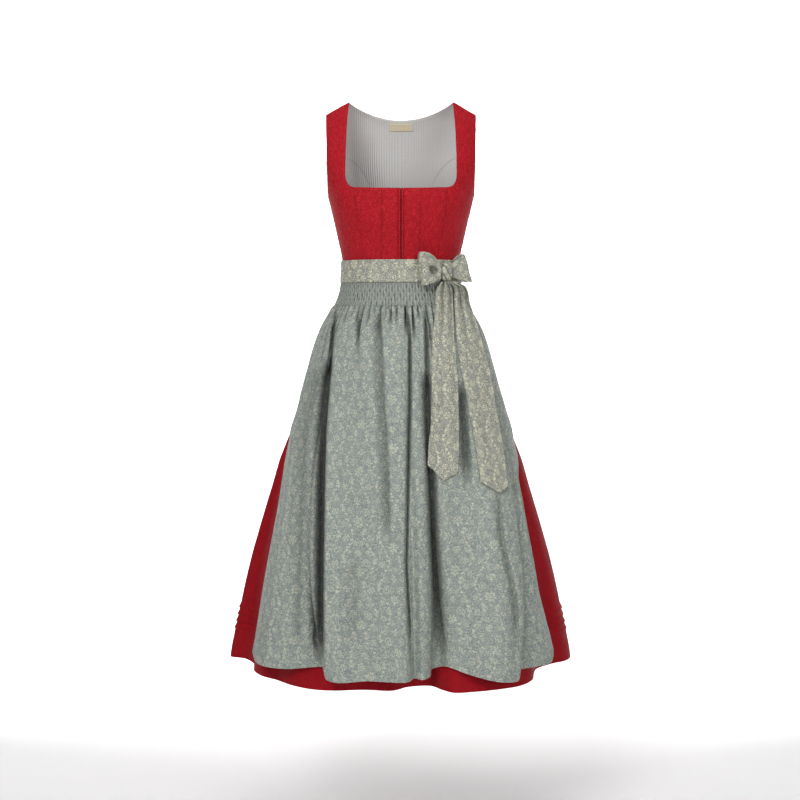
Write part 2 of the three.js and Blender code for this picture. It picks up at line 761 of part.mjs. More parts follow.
// ---------------------------------------------------------------- the front closure
/** A roll of cloth down one front edge, in step with the rows of the panel beside it. */
function pipingGeometry(side) {
  const points = steps(SEAM_STEPS).map((t) => {
    const p = place(PIPING_OFFSET, lerp(WAIST_LEVEL, necklineHeight(0), t));
    const point = bodicePoint(p).addScaledVector(bodiceNormal(p), -CLOTH / 2);
    return new THREE.Vector3(side * PIPING_OFFSET, point.y, point.z);
  });
  const oval = new THREE.Shape();
  oval.absellipse(0, 0, PIPING_HALF_WIDTH, PIPING_HALF_DEPTH, 0, 2 * Math.PI, false, 0);
  return new THREE.ExtrudeGeometry(oval, {
    steps: SEAM_STEPS,
    curveSegments: 5,
    bevelEnabled: false,
    extrudePath: new THREE.CatmullRomCurve3(points),
  });
}

add("front_piping_left", pipingGeometry(1), "bodice");
add("front_piping_right", pipingGeometry(-1), "bodice");

// ---------------------------------------------------------------- lining and label
const LINING_DEPTH = CLOTH + SEAM_GAP;
const LINING_INSIDE = LINING_DEPTH + LINING_CLOTH;
const backLining = add("lining_back_centre", panel(backCentre, LINING_DEPTH, LINING_INSIDE), "lining");
addPair("lining_back_side", backSide, "lining", LINING_DEPTH, LINING_INSIDE);

/** The bare neck label, laid on the lining's inner face. */
function labelGeometry() {
  const [halfWidth, top, bottom] = [25, -36, -51];
  const laid = grid([top, bottom], steps(4), (t, z) => {
    const x = lerp(-halfWidth, halfWidth, t);
    return new THREE.Vector3(x, meets([backLining], x, z, 0, 1), z);
  });
  const normals = gridNormals(laid, false);
  return wall(moved(laid, normals, SEAM_GAP), moved(laid, normals, SEAM_GAP + LABEL_CLOTH));
}
add("neck_label", labelGeometry(), "label");

// ---------------------------------------------------------------- the skirt's surface
const skirtSections = new Track(SKIRT_SECTIONS, byHeight);
const skirtSection = (height) => skirtSections.at(WAIST_LEVEL - height);
const hemSection = skirtSection(HEM_LEVEL);

/** How far down the skirt a height lies, from 0 at the waist to 1 at the hem. */
const fallAt = (height) => (WAIST_LEVEL - height) / (WAIST_LEVEL - HEM_LEVEL);

/** A hem point as an angle from the front and a share of the smooth section's reach. */
function turnAndReach({ x, y }) {
  const depth = y < 0 ? hemSection.front : hemSection.back;
  const [side, ahead] = [x / hemSection.half, -y / depth];
  return { turn: Math.atan2(side, ahead), reach: Math.hypot(side, ahead) };
}

/** A point at an angle and reach on a section, with a lift along the radius in millimetres. */
function sectionPoint(height, turn, reach, lift = 0) {
  const s = skirtSection(height);
  const [side, ahead] = [Math.sin(turn), Math.cos(turn)];
  const x = s.half * side;
  const y = ahead > 0 ? -s.front * ahead : -s.back * ahead;
  const grown = reach + lift / Math.hypot(x, y);
  return new THREE.Vector3(x * grown, y * grown, height);
}

/** The fold table as turns that only grow, reaches and drops. */
function skirtFoldTurns() {
  let lastTurn = -Infinity;
  return SKIRT_FOLDS.map((row) => {
    const { turn, reach } = turnAndReach(row);
    lastTurn = turn < lastTurn ? turn + FULL_TURN : turn;
    return { turn: lastTurn, reach, drop: row.drop };
  });
}
const FULL_TURN = 2 * Math.PI;
const skirtFolds = skirtFoldTurns();

/** The skirt's fold at a place round the hem, counted in table rows; it closes after them all. */
function skirtFold(at) {
  const n = skirtFolds.length;
  const row = (i) => {
    const r = skirtFolds[((i % n) + n) % n];
    return { ...r, turn: r.turn + Math.floor(i / n) * FULL_TURN };
  };
  const i = Math.floor(at);
  return new Track([row(i - 1), row(i), row(i + 1), row(i + 2)]).at(1 + at - i);
}

const FOLD_GROWTH = 0.75; // how early the folds open out below the waist
const FOLDS_START = 0.02; // just under the sash, as a share of the skirt's fall
const growth = (height) => clamp((fallAt(height) - FOLDS_START) / (1 - FOLDS_START), 0, 1) ** FOLD_GROWTH;

/** The skirt's outer surface at a place round it and a height, with no tucks or gathers. */
function skirtPoint(at, height, lift = 0) {
  const fold = skirtFold(at);
  const reach = 1 + (fold.reach - 1) * growth(height);
  const p = sectionPoint(height, fold.turn, reach, lift);
  p.z -= fold.drop * fallAt(height) ** 2;
  return p;
}

const COLUMNS_PER_FOLD = 2;
const GATHER_HEIGHT = 2.4;
const GATHERS_TOP = SASH_BOTTOM - 2;
const GATHERS_BOTTOM = -500;
const GATHER_RUN = 20; // height over which a gather rises to its full depth
const APRON_EDGE = radians(-APRON_FOLDS[0].waist);

/** How far the waist's gathers stand out; they start behind the apron's edges. */
function gatherLift(column, height) {
  const odd = Math.round(column * COLUMNS_PER_FOLD) % 2;
  let turn = skirtFold(column).turn % FULL_TURN;
  if (turn > Math.PI) turn -= FULL_TURN;
  const behind = smoothstep(Math.abs(turn), APRON_EDGE, APRON_EDGE + 0.2);
  const run = smoothstep(-height, -GATHERS_TOP, GATHER_RUN - GATHERS_TOP) *
    (1 - smoothstep(-height, GATHER_RUN - GATHERS_TOP, -GATHERS_BOTTOM));
  return (odd ? GATHER_HEIGHT : 0) * behind * run;
}

/** The skirt's levels: lift is how far a tuck's edge stands out, plain marks the inner rows. */
function skirtLevels() {
  const level = (height) => ({ height, lift: 0, plain: true });
  const tucks = [];
  for (let i = TUCKS - 1; i >= 0; i--) {
    const edge = HEM_LEVEL + FIRST_TUCK + i * TUCK_PITCH;
    tucks.push({ height: edge, lift: TUCK_PROUD, plain: false });
    tucks.push({ height: edge - TUCK_FOLD, lift: 0, plain: false });
  }
  return [
    ...[WAIST_LEVEL - SEAM_GAP, HEADER_TOP, -379, -402, HEADER_BOTTOM].map(level),
    ...[-480, -540, -640, -770, -905, tucks[0].height + TUCK_PITCH].map(level),
    ...tucks,
    level(HEM_LEVEL),
  ];
}

/** The whole skirt's outer and inner points, all round, before it is cut into its widths. */
function skirtFaces() {
  const count = SKIRT_FOLDS.length * COLUMNS_PER_FOLD;
  const columns = Array.from({ length: count }, (_, i) => i / COLUMNS_PER_FOLD);
  const levels = skirtLevels();
  const plainLevels = levels.filter((l) => l.plain);
  const points = (chosen) =>
    grid(chosen, columns, (c, l) => skirtPoint(c, l.height, gatherLift(c, l.height) + l.lift));
  const plain = points(plainLevels);
  return { outer: points(levels), inner: moved(plain, gridNormals(plain, true), -CLOTH) };
}
const skirtCloth = skirtFaces();

/** One width of the skirt, between the two rows of the fold table where its side seams run. */
function skirtWidth(fromFold, toFold) {
  const between = (points) =>
    points.map((row) => [...row, row[0]].slice(fromFold * COLUMNS_PER_FOLD, toFold * COLUMNS_PER_FOLD + 1));
  return wall(
    inset(between(skirtCloth.outer), EDGE_INSET),
    inset(between(skirtCloth.inner), EDGE_INSET),
  );
}
const LEFTMOST_FOLD = 0; // the side seams
const RIGHTMOST_FOLD = 23;
const skirtFront = add("skirt_front", skirtWidth(LEFTMOST_FOLD, RIGHTMOST_FOLD), "skirt");
add("skirt_back", skirtWidth(RIGHTMOST_FOLD, SKIRT_FOLDS.length), "skirt");

// ---------------------------------------------------------------- the apron
const apronFolds = new Track(
  APRON_FOLDS.map((row) => ({ waist: radians(row.waist), ...turnAndReach(row), rise: row.rise })),
);

const edgeSwing = new Track(APRON_EDGE_SWING, (a, b) => b.fall - a.fall);
const [EVEN_SWING, EDGE_SWING] = [radians(72), radians(97)]; // at the waist, from the front

/** The share of a fold's turn that it has made at a share of the fall. */
function swing(waist, fall) {
  return lerp(fall, edgeSwing.at(fall).share, smoothstep(Math.abs(waist), EVEN_SWING, EDGE_SWING));
}

/** The largest reach at an angle of a run of places, each with a turn and a reach. */
function outermost(run, turn) {
  let most = 0;
  for (let i = 0; i + 1 < run.length; i++) {
    const [a, b] = [run[i], run[i + 1]];
    if ((a.turn - turn) * (b.turn - turn) <= 0 && a.turn !== b.turn) {
      most = Math.max(most, lerp(a.reach, b.reach, (turn - a.turn) / (b.turn - a.turn)));
    }
  }
  return most;
}

const runsByHeight = new Map();
const [RUN_START, RUN_END, RUN_PITCH] = [-6, 29, 0.25]; // past both side seams, in fold rows

/** The skirt's front half at a height, as turns and reaches. */
function skirtRun(height) {
  if (!runsByHeight.has(height)) {
    const run = [];
    for (let at = RUN_START; at <= RUN_END; at += RUN_PITCH) {
      const fold = skirtFold(at);
      run.push({ turn: fold.turn, reach: 1 + (fold.reach - 1) * growth(height) });
    }
    runsByHeight.set(height, run);
  }
  return runsByHeight.get(height);
}

const HEADER_LIFT = 0.9 + APRON_CLOTH; // the apron's outer face over the skirt's
const CHORD_ALLOWANCE = 0.3; // the head's plain inside has longer facets than the ribs
const APRON_CLEARANCE = 6; // the same lower down, where the apron hangs free

/** The apron's outer surface at a place across its fold table and a height. */
function apronPoint(at, height, lift = 0) {
  const fold = apronFolds.at(at);
  const turn = lerp(fold.waist, fold.turn, swing(fold.waist, clamp(fallAt(height), 0, 1)));
  const wide = 1 + (fold.reach - 1) * growth(height);
  const s = skirtSection(height);
  const off = lerp(HEADER_LIFT, APRON_CLEARANCE, smoothstep(-height, -HEADER_BOTTOM, -APRON_FREE));
  const clear = outermost(skirtRun(height), turn) + off / ((s.half + s.front) / 2);
  const point = sectionPoint(height, turn, Math.max(wide, clear), lift);
  point.z += fold.rise * fallAt(height) ** 3;
  return point;
}

const APRON_COLUMNS_PER_FOLD = 3;
const APRON_SPAN = APRON_FOLDS.length - 1;
const APRON_FREE = -480; // below this the apron hangs free of the skirt
const APRON_LEVELS = [
  HEADER_BOTTOM - SEAM_GAP, -440, -465, -505, -560, -640, -740, -850, -960, -1070, HEM_LEVEL,
];
const APRON_GATHER = 3.4;
const GATHERS_FADE = -580; // the gathers under the smocking end here

function apronGeometry() {
  const columns = steps(APRON_SPAN * APRON_COLUMNS_PER_FOLD);
  const points = grid(APRON_LEVELS, columns, (c, height) => {
    const odd = Math.round(c * APRON_SPAN * APRON_COLUMNS_PER_FOLD) % 2;
    const fade = 1 - smoothstep(-height, 10 - HEADER_BOTTOM, -GATHERS_FADE);
    return apronPoint(c * APRON_SPAN, height, RIB_HEIGHT / 2 + odd * APRON_GATHER * fade);
  });
  return wall(points, moved(points, gridNormals(points, false), -APRON_CLOTH));
}
const apron = add("apron_panel", apronGeometry(), "apron");

/** The smocked head: upright ribs stand on the outer face below the sash, over a plain inside. */
function headerGeometry() {
  const ribbed = grid(HEADER_LEVELS, steps(SMOCKING_RIBS * 2), (c, height) => {
    const crest = Math.round(c * SMOCKING_RIBS * 2) % 2 === 1 && height < SASH_BOTTOM - 2;
    return apronPoint(c * APRON_SPAN, height, crest ? RIB_HEIGHT : 0);
  });
  const plain = grid(HEADER_INSIDE_LEVELS, steps(SMOCKING_RIBS / 2), (c, height) =>
    apronPoint(c * APRON_SPAN, height, CHORD_ALLOWANCE - APRON_CLOTH),
  );
  return wall(ribbed, plain);
}
const header = add("apron_smocked_head", headerGeometry(), "apron");

// ---------------------------------------------------------------- the sash
const sashSections = new Track(SASH_SECTIONS, byHeight);

/** A point of the sash: a turn from the front, a height, and a lift off its inner face. */
function sashPoint(turn, height, lift) {
  const s = sashSections.at(SASH_TOP - height);
  const [side, ahead] = [Math.sin(turn), Math.cos(turn)];
  const depth = ahead > 0 ? -s.front : s.back;
  return new THREE.Vector3(
    (s.half + lift) * Math.sign(side) * Math.abs(side) ** s.square,
    (depth + Math.sign(depth) * lift) * Math.abs(ahead) ** s.square,
    height,
  );
}

function sashBandGeometry() {
  const columns = 48;
  const turns = Array.from({ length: columns }, (_, i) => (2 * Math.PI * i) / columns);
  const levels = SASH_SECTIONS.map((row) => row.height);
  const face = (lift) => grid(levels, turns, (turn, height) => sashPoint(turn, height, lift));
  return wall(face(SASH_CLOTH), face(0), true);
}
add("sash_band", sashBandGeometry(), "sash");

const UP = new THREE.Vector3(0, 0, 1);
const knotTurn = radians(KNOT_TURN);
const knotSeat = sashPoint(knotTurn, KNOT.level, SASH_CLOTH);
const knotFacing = sashPoint(knotTurn + 1e-3, KNOT.level, SASH_CLOTH).sub(knotSeat).cross(UP).normalize();

/** The knot: a barrel of ribbon with a few slanting wraps round it. */
function knotGeometry() {
  const [wraps, wrapDepth, squareness] = [3, 0.06, 0.8];
  const [around, down] = [18, 10];
  const geometry = new THREE.SphereGeometry(1, around, down);
  const across = UP.clone().cross(knotFacing);
  const centre = knotSeat.clone().addScaledVector(knotFacing, KNOT.halfDepth + KNOT.standOff);
  const p = geometry.attributes.position;
  const v = new THREE.Vector3();
  const squared = (a) => Math.sign(a) * Math.abs(a) ** squareness;
  for (let i = 0; i < p.count; i++) {
    v.fromBufferAttribute(p, i);
    const groove = 1 - wrapDepth * Math.cos(wraps * (Math.PI * v.x + v.y)) ** 2;
    const point = centre
      .clone()
      .addScaledVector(across, squared(v.x) * KNOT.halfWidth * groove)
      .addScaledVector(UP, squared(v.y) * KNOT.halfHeight)
      .addScaledVector(knotFacing, squared(v.z) * KNOT.halfDepth * (v.z > 0 ? groove : 1));
    p.setXYZ(i, point.x, point.y, point.z);
  }
  return facingOut(geometry);
}
add("bow_knot", knotGeometry(), "sash");

/** A loop of ribbon: out from the knot on its front ply and back to it on its back ply. */
function loopGeometry({ near, far, facing, bulge }) {
  const [alongSteps, acrossSteps, nearHalfGap] = [14, 5, 3.2];
  const vector = (list) => new THREE.Vector3(...list);
  const outward = vector(facing).normalize();
  const rightwards = far.top[0] > near.top[0];
  const points = grid(steps(acrossSteps), steps(alongSteps), (c, down) => {
    const share = rightwards ? c : 1 - c; // the front ply comes first
    const out = Math.sin(Math.PI * share) ** 0.75;
    const start = vector(near.top).lerp(vector(near.bottom), down);
    const end = vector(far.top).lerp(vector(far.bottom), down);
    const wave = Math.sin(2 * Math.PI * share);
    const dent = bulge.dent * Math.exp(-(((down - 0.5) / 0.16) ** 2)) * Math.max(0, wave);
    const lift = wave * (share < 0.5 ? bulge.front : bulge.back) - dent;
    return start
      .lerp(end, out)
      .addScaledVector(outward, lift + nearHalfGap * Math.cos(Math.PI * share));
  });
  return wall(points, moved(points, gridNormals(points, false), -SASH_CLOTH));
}
for (const loop of BOW_LOOPS) add(loop.name, loopGeometry(loop), "sash");

/** How far forward a sash end lies at a place: on the foremost folds that it can reach. */
function restingDepth(x, z) {
  const [reach, pitch] = [48, 4];
  let foremost = Infinity;
  for (let d = -reach; d <= reach; d += pitch) {
    const y = meets([apron, header, skirtFront], x + d, z, -1000, 1);
    if (y !== null) foremost = Math.min(foremost, y + TAIL_STEEPEST * Math.abs(d));
  }
  return foremost - TAIL_CLEARANCE;
}

/** A hanging end of the sash, pleated under the knot and cut to a point below. */
function sashEndGeometry({ edges, depth, ends, tip }) {
  const [rows, columns, pleats, pleatDepth, settle] = [12, 8, 2, 4.5, 45];
  const track = new Track(edges, byHeight);
  const top = edges[0].height;
  const bottomAt = (c) => {
    const [leftEnd, point, rightEnd] = ends;
    return c < tip ? lerp(leftEnd, point, c / tip) : lerp(point, rightEnd, (c - tip) / (1 - tip));
  };
  const points = grid(steps(rows), steps(columns), (c, down) => {
    const z = lerp(top, bottomAt(c), down ** 1.25);
    const edge = track.at(top - z);
    const x = lerp(edge.left, edge.right, c);
    const settled = smoothstep(top - z, 0, settle);
    const pleat = ((1 - Math.cos(2 * Math.PI * pleats * c)) / 2) * pleatDepth * (1 - 0.6 * settled);
    const rest = restingDepth(x, z);
    return new THREE.Vector3(x, Math.min(rest, lerp(depth, rest, settled)) - SASH_CLOTH - pleat, z);
  });
  return wall(points, moved(points, gridNormals(points, false), -SASH_CLOTH));
}
for (const end of SASH_ENDS) add(end.name, sashEndGeometry(end), "sash");

export default dirndl;
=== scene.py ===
import sys
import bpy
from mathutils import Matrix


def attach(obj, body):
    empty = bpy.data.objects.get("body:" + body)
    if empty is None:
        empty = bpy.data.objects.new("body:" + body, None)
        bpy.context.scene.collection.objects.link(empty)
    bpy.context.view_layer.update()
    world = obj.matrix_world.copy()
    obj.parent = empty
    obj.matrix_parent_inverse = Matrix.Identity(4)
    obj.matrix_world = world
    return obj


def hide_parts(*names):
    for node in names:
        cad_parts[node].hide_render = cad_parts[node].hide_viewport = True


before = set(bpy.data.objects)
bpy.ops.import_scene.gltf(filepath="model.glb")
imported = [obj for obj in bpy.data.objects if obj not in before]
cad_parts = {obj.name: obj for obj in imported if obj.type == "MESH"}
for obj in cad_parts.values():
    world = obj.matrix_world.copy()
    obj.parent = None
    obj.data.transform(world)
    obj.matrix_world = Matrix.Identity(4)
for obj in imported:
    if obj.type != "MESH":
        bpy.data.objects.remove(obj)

"""The dirndl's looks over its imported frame: every cloth again on its solid's form, only finer,
with its creases, seams, stitches, weave and damask. Tables are in millimetres, meshes in metres.
The origin lies between the neck points, the front faces -Y, the wearer's left is +X, up is +Z."""

import logging
import math
import random
from dataclasses import dataclass, field
from enum import Enum
from typing import Callable, Iterable, Sequence

import bpy
import numpy as np
from mathutils import Vector
from mathutils.bvhtree import BVHTree

Array = np.ndarray
Reals = np.ndarray | float
Object = bpy.types.Object
Material = bpy.types.Material
Tree = bpy.types.NodeTree
Node = bpy.types.Node
Socket = bpy.types.NodeSocket

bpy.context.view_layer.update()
LOG = logging.getLogger("dirndl")
MM = 0.001
FULL_TURN = 2 * math.pi

WAIST_LEVEL = -360.0
HEM_LEVEL = -1168.0
UNDERARM_LEVEL = -198.0
NECK_HALF_WIDTH = 108.0
SHOULDER_HALF_WIDTH = 157.0
SHOULDER_DROP = 27.0
NECKLINE_LEVEL = -185.0
NECKLINE_DIP = 2.5
BACK_NECK_DEPTH = 30.0
BACK_SEAM_TOP = -99.0
SASH_TOP = -331.0
SASH_BOTTOM = -376.5
HEADER_TOP = -366.0
HEADER_BOTTOM = -424.0
RIB_HEIGHT = 1.6
SEAM_GAP = 0.3
EDGE_INSET = 0.17
WORN = "_worn"  # added to a node's name for the cloth that stands for it
CLOTH = 1.6
APRON_CLOTH = 1.4
SASH_CLOTH = 1.6
RIBBON_WIDTH = 46
APRON_SIDE = 104  # degrees round the waist


# ---------------------------------------------------------------- tables
@dataclass(frozen=True)
class Table:
    """Rows of millimetres under named columns, interpolated smoothly from row to row.

    Args:
        columns: the columns' names, parted by spaces.
        rows: the rows, in order.
        measured: the columns that say how far apart two rows lie; none gives equal steps.
    """

    columns: str
    rows: Sequence[Sequence[float]]
    measured: str = ""

    def __post_init__(self) -> None:
        """Lays out the knots, with one more at either end."""
        names = self.columns.split()
        rows = np.array(self.rows, float)
        if self.measured:
            picked = rows[:, [names.index(name) for name in self.measured.split()]]
            gaps = np.linalg.norm(np.diff(picked, axis=0), axis=1)
        else:
            gaps = np.ones(len(rows) - 1)
        knots = np.concatenate([[-gaps[0], 0], np.cumsum(gaps)])
        knots = np.append(knots, knots[-1] + gaps[-1])
        object.__setattr__(self, "_names", names)
        object.__setattr__(self, "_knots", knots)
        object.__setattr__(self, "_rows", np.vstack([rows[:1], rows, rows[-1:]]))
        object.__setattr__(self, "length", knots[-2])

    def at(self, distance: Reals) -> dict[str, Array]:
        """Interpolates every column.

        Args:
            distance: how far along the table, in its own measure.

        Returns:
            The columns' values by name.
        """
        d = np.clip(np.asarray(distance, float), 0, self.length)
        k = self._knots
        i = np.clip(np.searchsorted(k[1:-1], d, side="right") - 1, 0, len(k) - 4)
        k0, k1, k2, k3 = (k[i + n] for n in range(4))
        r0, r1, r2, r3 = (self._rows[i + n] for n in range(4))
        span = k2 - k1
        t = ((d - k1) / span)[..., None]
        m1 = (r2 - r0) * (span / (k2 - k0))[..., None]
        m2 = (r3 - r1) * (span / (k3 - k1))[..., None]
        out = (2 * t**3 - 3 * t**2 + 1) * r1 + (t**3 - 2 * t**2 + t) * m1
        out = out + (3 * t**2 - 2 * t**3) * r2 + (t**3 - t**2) * m2
        return {name: out[..., n] for n, name in enumerate(self._names)}

    def knot(self, row: int) -> float:
        """How far along the table a row lies."""
        return float(self._knots[row + 1])


BODICE_SECTIONS = Table("height half front back square slope", ((-360, 122, 90, 84, 1.0, 0),
    (-326, 123.3, 93, 86, 0.98, 0), (-290, 131, 100, 90, 0.95, 0), (-245, 141, 112, 96, 0.9, 0),
    (-198, 152.5, 118, 102, 0.86, 0), (-160, 163, 111, 104, 0.86, 0),
    (-120, 169, 96, 100, 0.86, 0.1), (-75, 168, 72, 87, 0.86, 0.4), (-30, 165, 42, 62, 0.86, 0.8),
    (-8, 164, 20, 31, 0.86, 0.95), (0, 164, 0, 0, 0.86, 1), (-8, 164, -31, -20, 0.86, 0.95)),
    "height front half")
# Degrees round from the side seam towards the front and the back.
ARMHOLE = Table("height front back", ((-198, 0, 0), (-190, 9, 8), (-172, 18, 15), (-142, 25, 20),
    (-108, 26, 22), (-70, 24, 22), (-30, 20, 20), (0, 18, 18)), "height")
STRAP_EDGE = Table("height x", ((-185, 96), (-182.5, 103), (-177, 109), (-167, 113), (-148, 114),
    (-86, 113), (-44, 111.5), (0, NECK_HALF_WIDTH)), "height x")
FRONT_PRINCESS_SEAM = Table("height x", ((-360, 70), (-332, 74), (-280, 84), (-230, 92),
    (-185, 96)), "height x")
BACK_PRINCESS_SEAM = Table("height x", ((-360, 50), (-300, 50), (-240, 53), (-200, 59),
    (-173, 67), (-147, 78), (-128, 91), (-113, 109), (-104, 130), (BACK_SEAM_TOP, 158.5)),
    "height x")
SKIRT_SECTIONS = Table("height half front back", ((-360, 122, 90, 84), (-385, 124, 93, 87),
    (-410, 131, 101, 95), (-433, 142, 112, 107), (-475, 162, 133, 129), (-522, 180, 152, 149),
    (-600, 202, 178, 175), (-664, 219, 196, 194), (-780, 260, 226, 226), (-905, 299, 250, 256),
    (-1000, 326, 264, 280), (-1080, 345, 272, 296), (-1168, 362, 276, 310)), "height")
# Round from the left side by the front: x, y at the hem and the hem's drop.
SKIRT_FOLDS = ((-363, 12, 0), (-328, -16, 0), (-305, -62, 2), (-301, -112, 4), (-282, -150, 6),
    (-248, -180, 8), (-214, -226, 8), (-174, -258, 8), (-132, -269, 8), (-72, -262, 8),
    (-18, -270, 8), (14, -238, 8), (56, -228, 8), (80, -262, 8), (104, -287, 8), (146, -278, 8),
    (196, -256, 8), (236, -228, 8), (262, -190, 6), (270, -142, 4), (280, -102, 2), (312, -66, 0),
    (346, -34, 0), (361, 14, 0), (350, 62, 0), (312, 96, 0), (314, 158, 0), (272, 214, 0),
    (220, 222, 0), (192, 274, 0), (128, 304, 0), (78, 272, 0), (26, 302, 0), (-44, 314, 0),
    (-92, 276, 0), (-152, 296, 0), (-212, 262, 0), (-236, 216, 0), (-290, 188, 0), (-332, 128, 0),
    (-326, 76, 0))
RIGHTMOST_FOLD = 23  # the side seams run down the first row and this one
# Degrees round the waist, x, y at the hem and the hem's rise.
APRON_FOLDS = ((-104, -300, -158, 30), (-97, -287, -190, 29), (-90, -268, -222, 29),
    (-82, -229, -241, 29), (-72, -190, -260, 35), (-63, -150, -272, 40), (-59, -128, -284, 34),
    (-56, -145, -311, 26), (-50, -120, -331, 22), (-38, -65, -317, 22), (-20, -5, -330, 22),
    (-2, 16, -321, 22), (4, 26, -292, 22), (8, 41, -306, 22), (14, 56, -289, 24),
    (18, 60, -262, 32), (22, 74, -262, 38), (28, 92, -292, 44), (37, 129, -302, 32),
    (49, 181, -319, 22), (60, 216, -304, 17), (66, 229, -284, 18), (70, 232, -240, 26),
    (77, 264, -223, 29), (87, 284, -208, 29), (96, 300, -185, 30), (104, 308, -160, 32))
APRON_EDGE_SWING = Table("fall share", ((0, 0), (0.36, 0.34), (0.53, 0.75), (0.72, 0.91), (1, 1)),
    "fall")
SASH_SECTIONS = Table("height half front back square", ((-331, 124.2, 94.8, 86.9, 0.98),
    (-348, 124.5, 94.8, 87, 0.985), (-362, 125, 95.2, 87.2, 0.99), (-376.5, 126.1, 96, 88.2, 1)),
    "height")
RIGHT_TAIL = Table("height left right", ((-376.1, 82, 95), (-386, 73.5, 101), (-399, 70.5, 105),
    (-432, 70, 106), (-494, 63.5, 108), (-560, 61.5, 113), (-644, 59.5, 115), (-708, 54.5, 114.5),
    (-780, 52.5, 111)), "height")
LEFT_TAIL = Table("height left right", ((-376.1, 96.5, 110), (-386, 107.5, 131), (-423, 109, 143),
    (-478, 113, 160), (-525, 117, 173), (-583, 127, 186), (-626, 134, 191), (-669, 143, 199),
    (-753, 155, 210), (-800, 158, 213)), "height")
# Gathers under the smocking: degrees round the waist, depth and length of the notch.
APRON_NOTCHES = ((-97, 2.5, 50), (-91, 3.5, 70), (-84, 3, 60), (-77, 3.5, 80), (-69, 6, 120),
    (-61, 3, 50), (-55.6, 5, 60), (-50, 3.5, 40), (-44, 2.5, 30), (-38.3, 5, 45), (-33.7, 6, 90),
    (-27.6, 4, 40), (-23, 2, 25), (-18.2, 5, 80), (-13, 2, 30), (-9, 5, 45), (-3.9, 4, 40),
    (3.4, 5, 60), (9.4, 6, 70), (14, 3, 35), (21, 6, 90), (26.4, 5, 60), (33, 3, 40), (41, 5, 70),
    (48, 3, 40), (56, 5, 80), (63, 3.5, 50), (71, 4, 80), (80, 3, 50), (88, 3.5, 70), (97, 3, 50))


@dataclass(frozen=True)
class Crease:
    """A trough pressed into the apron, as a line seen from the front.

    Args:
        line: x and z of the line's points, from top to bottom.
        left, right: how far the trough reaches to either side, in millimetres.
        depth: how deep it is in the middle of its run, in millimetres.
    """

    line: tuple[tuple[float, float], ...]
    left: float
    right: float
    depth: float


APRON_CREASES = (
    Crease(((-131, -425), (-138.6, -475), (-151.6, -584)), 5, 3, 26),
    Crease(((-145.5, -535), (-151.6, -584), (-160, -685),
            (-163.8, -786), (-166.7, -958), (-167.6, -1126), (-167, -1176)), 17, 3.2, 38),
    Crease(((-83, -425), (-87.8, -483), (-91.4, -530)), 6, 3, 15),
    Crease(((-43.1, -425), (-41.4, -517), (-38.2, -618),
            (-32.3, -685), (-28.6, -784), (-25.2, -916)), 14, 3, 14),
    Crease(((8.8, -425), (18.5, -492), (18.9, -618),
            (16, -740), (11.8, -977), (21, -1158)), 3.4, 2.8, 18),
    Crease(((49.4, -425), (52.5, -483), (56, -600)), 4, 4, 20),
    Crease(((54.6, -560), (57.8, -649), (64, -769),
            (69.3, -916), (79.8, -1084), (84, -1158)), 9, 7, 28),
    Crease(((126, -580), (130.2, -664), (136, -740), (138.5, -800)), 9, 8, 24),
    Crease(((207.9, -817), (214.2, -916), (241.5, -1036), (249.9, -1147)), 9, 4, 11),
    Crease(((-174.3, -551), (-191.1, -643), (-205.8, -733),
            (-214.2, -916), (-220.5, -1084), (-224.7, -1158)), 12, 7, 8),
    Crease(((-102.9, -958), (-105, -1063), (-102.9, -1158)), 18, 12, 6),
)


# ---------------------------------------------------------------- small mathematics
def smoothstep(x: Reals, low: float, high: float) -> Array:
    """0 below low, 1 above high, and a soft rise between them."""
    t = np.clip((np.asarray(x, float) - low) / (high - low), 0, 1)
    return t * t * (3 - 2 * t)


def between(x: Array, a: float, b: float, c: float, d: float) -> Array:
    """A soft rise from 0 at a to 1 at b, and a soft fall to 0 from c to d."""
    return smoothstep(x, a, b) * (1 - smoothstep(x, c, d))


def bell(x: Reals, wide: float) -> Array:
    """1 at 0, falling softly to either side over a width."""
    return np.exp(-((x / wide) ** 2))


def lerp(a: Reals, b: Reals, t: Reals) -> Array:
    """The value a share of the way from a to b."""
    return a + (np.asarray(b) - a) * t


def stacked(*parts: Reals) -> Array:
    """Coordinates side by side on a last axis, stretched to one shape."""
    return np.stack(np.broadcast_arrays(*parts), axis=-1)


def oval(s: dict[str, Array], turn: Array, lift: Reals = 0.0) -> tuple[Array, Array]:
    """Points round a level section.

    Args:
        s: the section's half width, its front and back depth, and how square it is.
        turn: angles from the front.
        lift: how far outside the section.

    Returns:
        x and y.
    """
    side, ahead, square = np.sin(turn), np.cos(turn), s.get("square", 1.0)
    depth = np.where(ahead > 0, -s["front"], s["back"])
    x = (s["half"] + lift) * np.sign(side) * np.abs(side) ** square
    return x, (depth + np.sign(depth) * lift) * np.abs(ahead) ** square


def unit(vectors: Array) -> Array:
    """Vectors scaled to length 1."""
    return vectors / np.maximum(np.linalg.norm(vectors, axis=-1, keepdims=True), 1e-9)


def ripple(x: Array, seed: int, waves: int = 5, fine: float = 1.0) -> Array:
    """A smooth uneven wave along x.

    Args:
        x: places in millimetres.
        seed: fixes the wave.
        waves: how many sines are added up.
        fine: how much finer than about 40 mm the wave is.

    Returns:
        Heights of about -1 to 1.
    """
    draw = random.Random(seed)
    total = np.zeros_like(np.asarray(x, float))
    for _ in range(waves):
        length = 40 / fine * draw.uniform(0.5, 1.8)
        total += np.sin(np.asarray(x) * FULL_TURN / length + draw.uniform(0, FULL_TURN))
    return total / math.sqrt(waves)


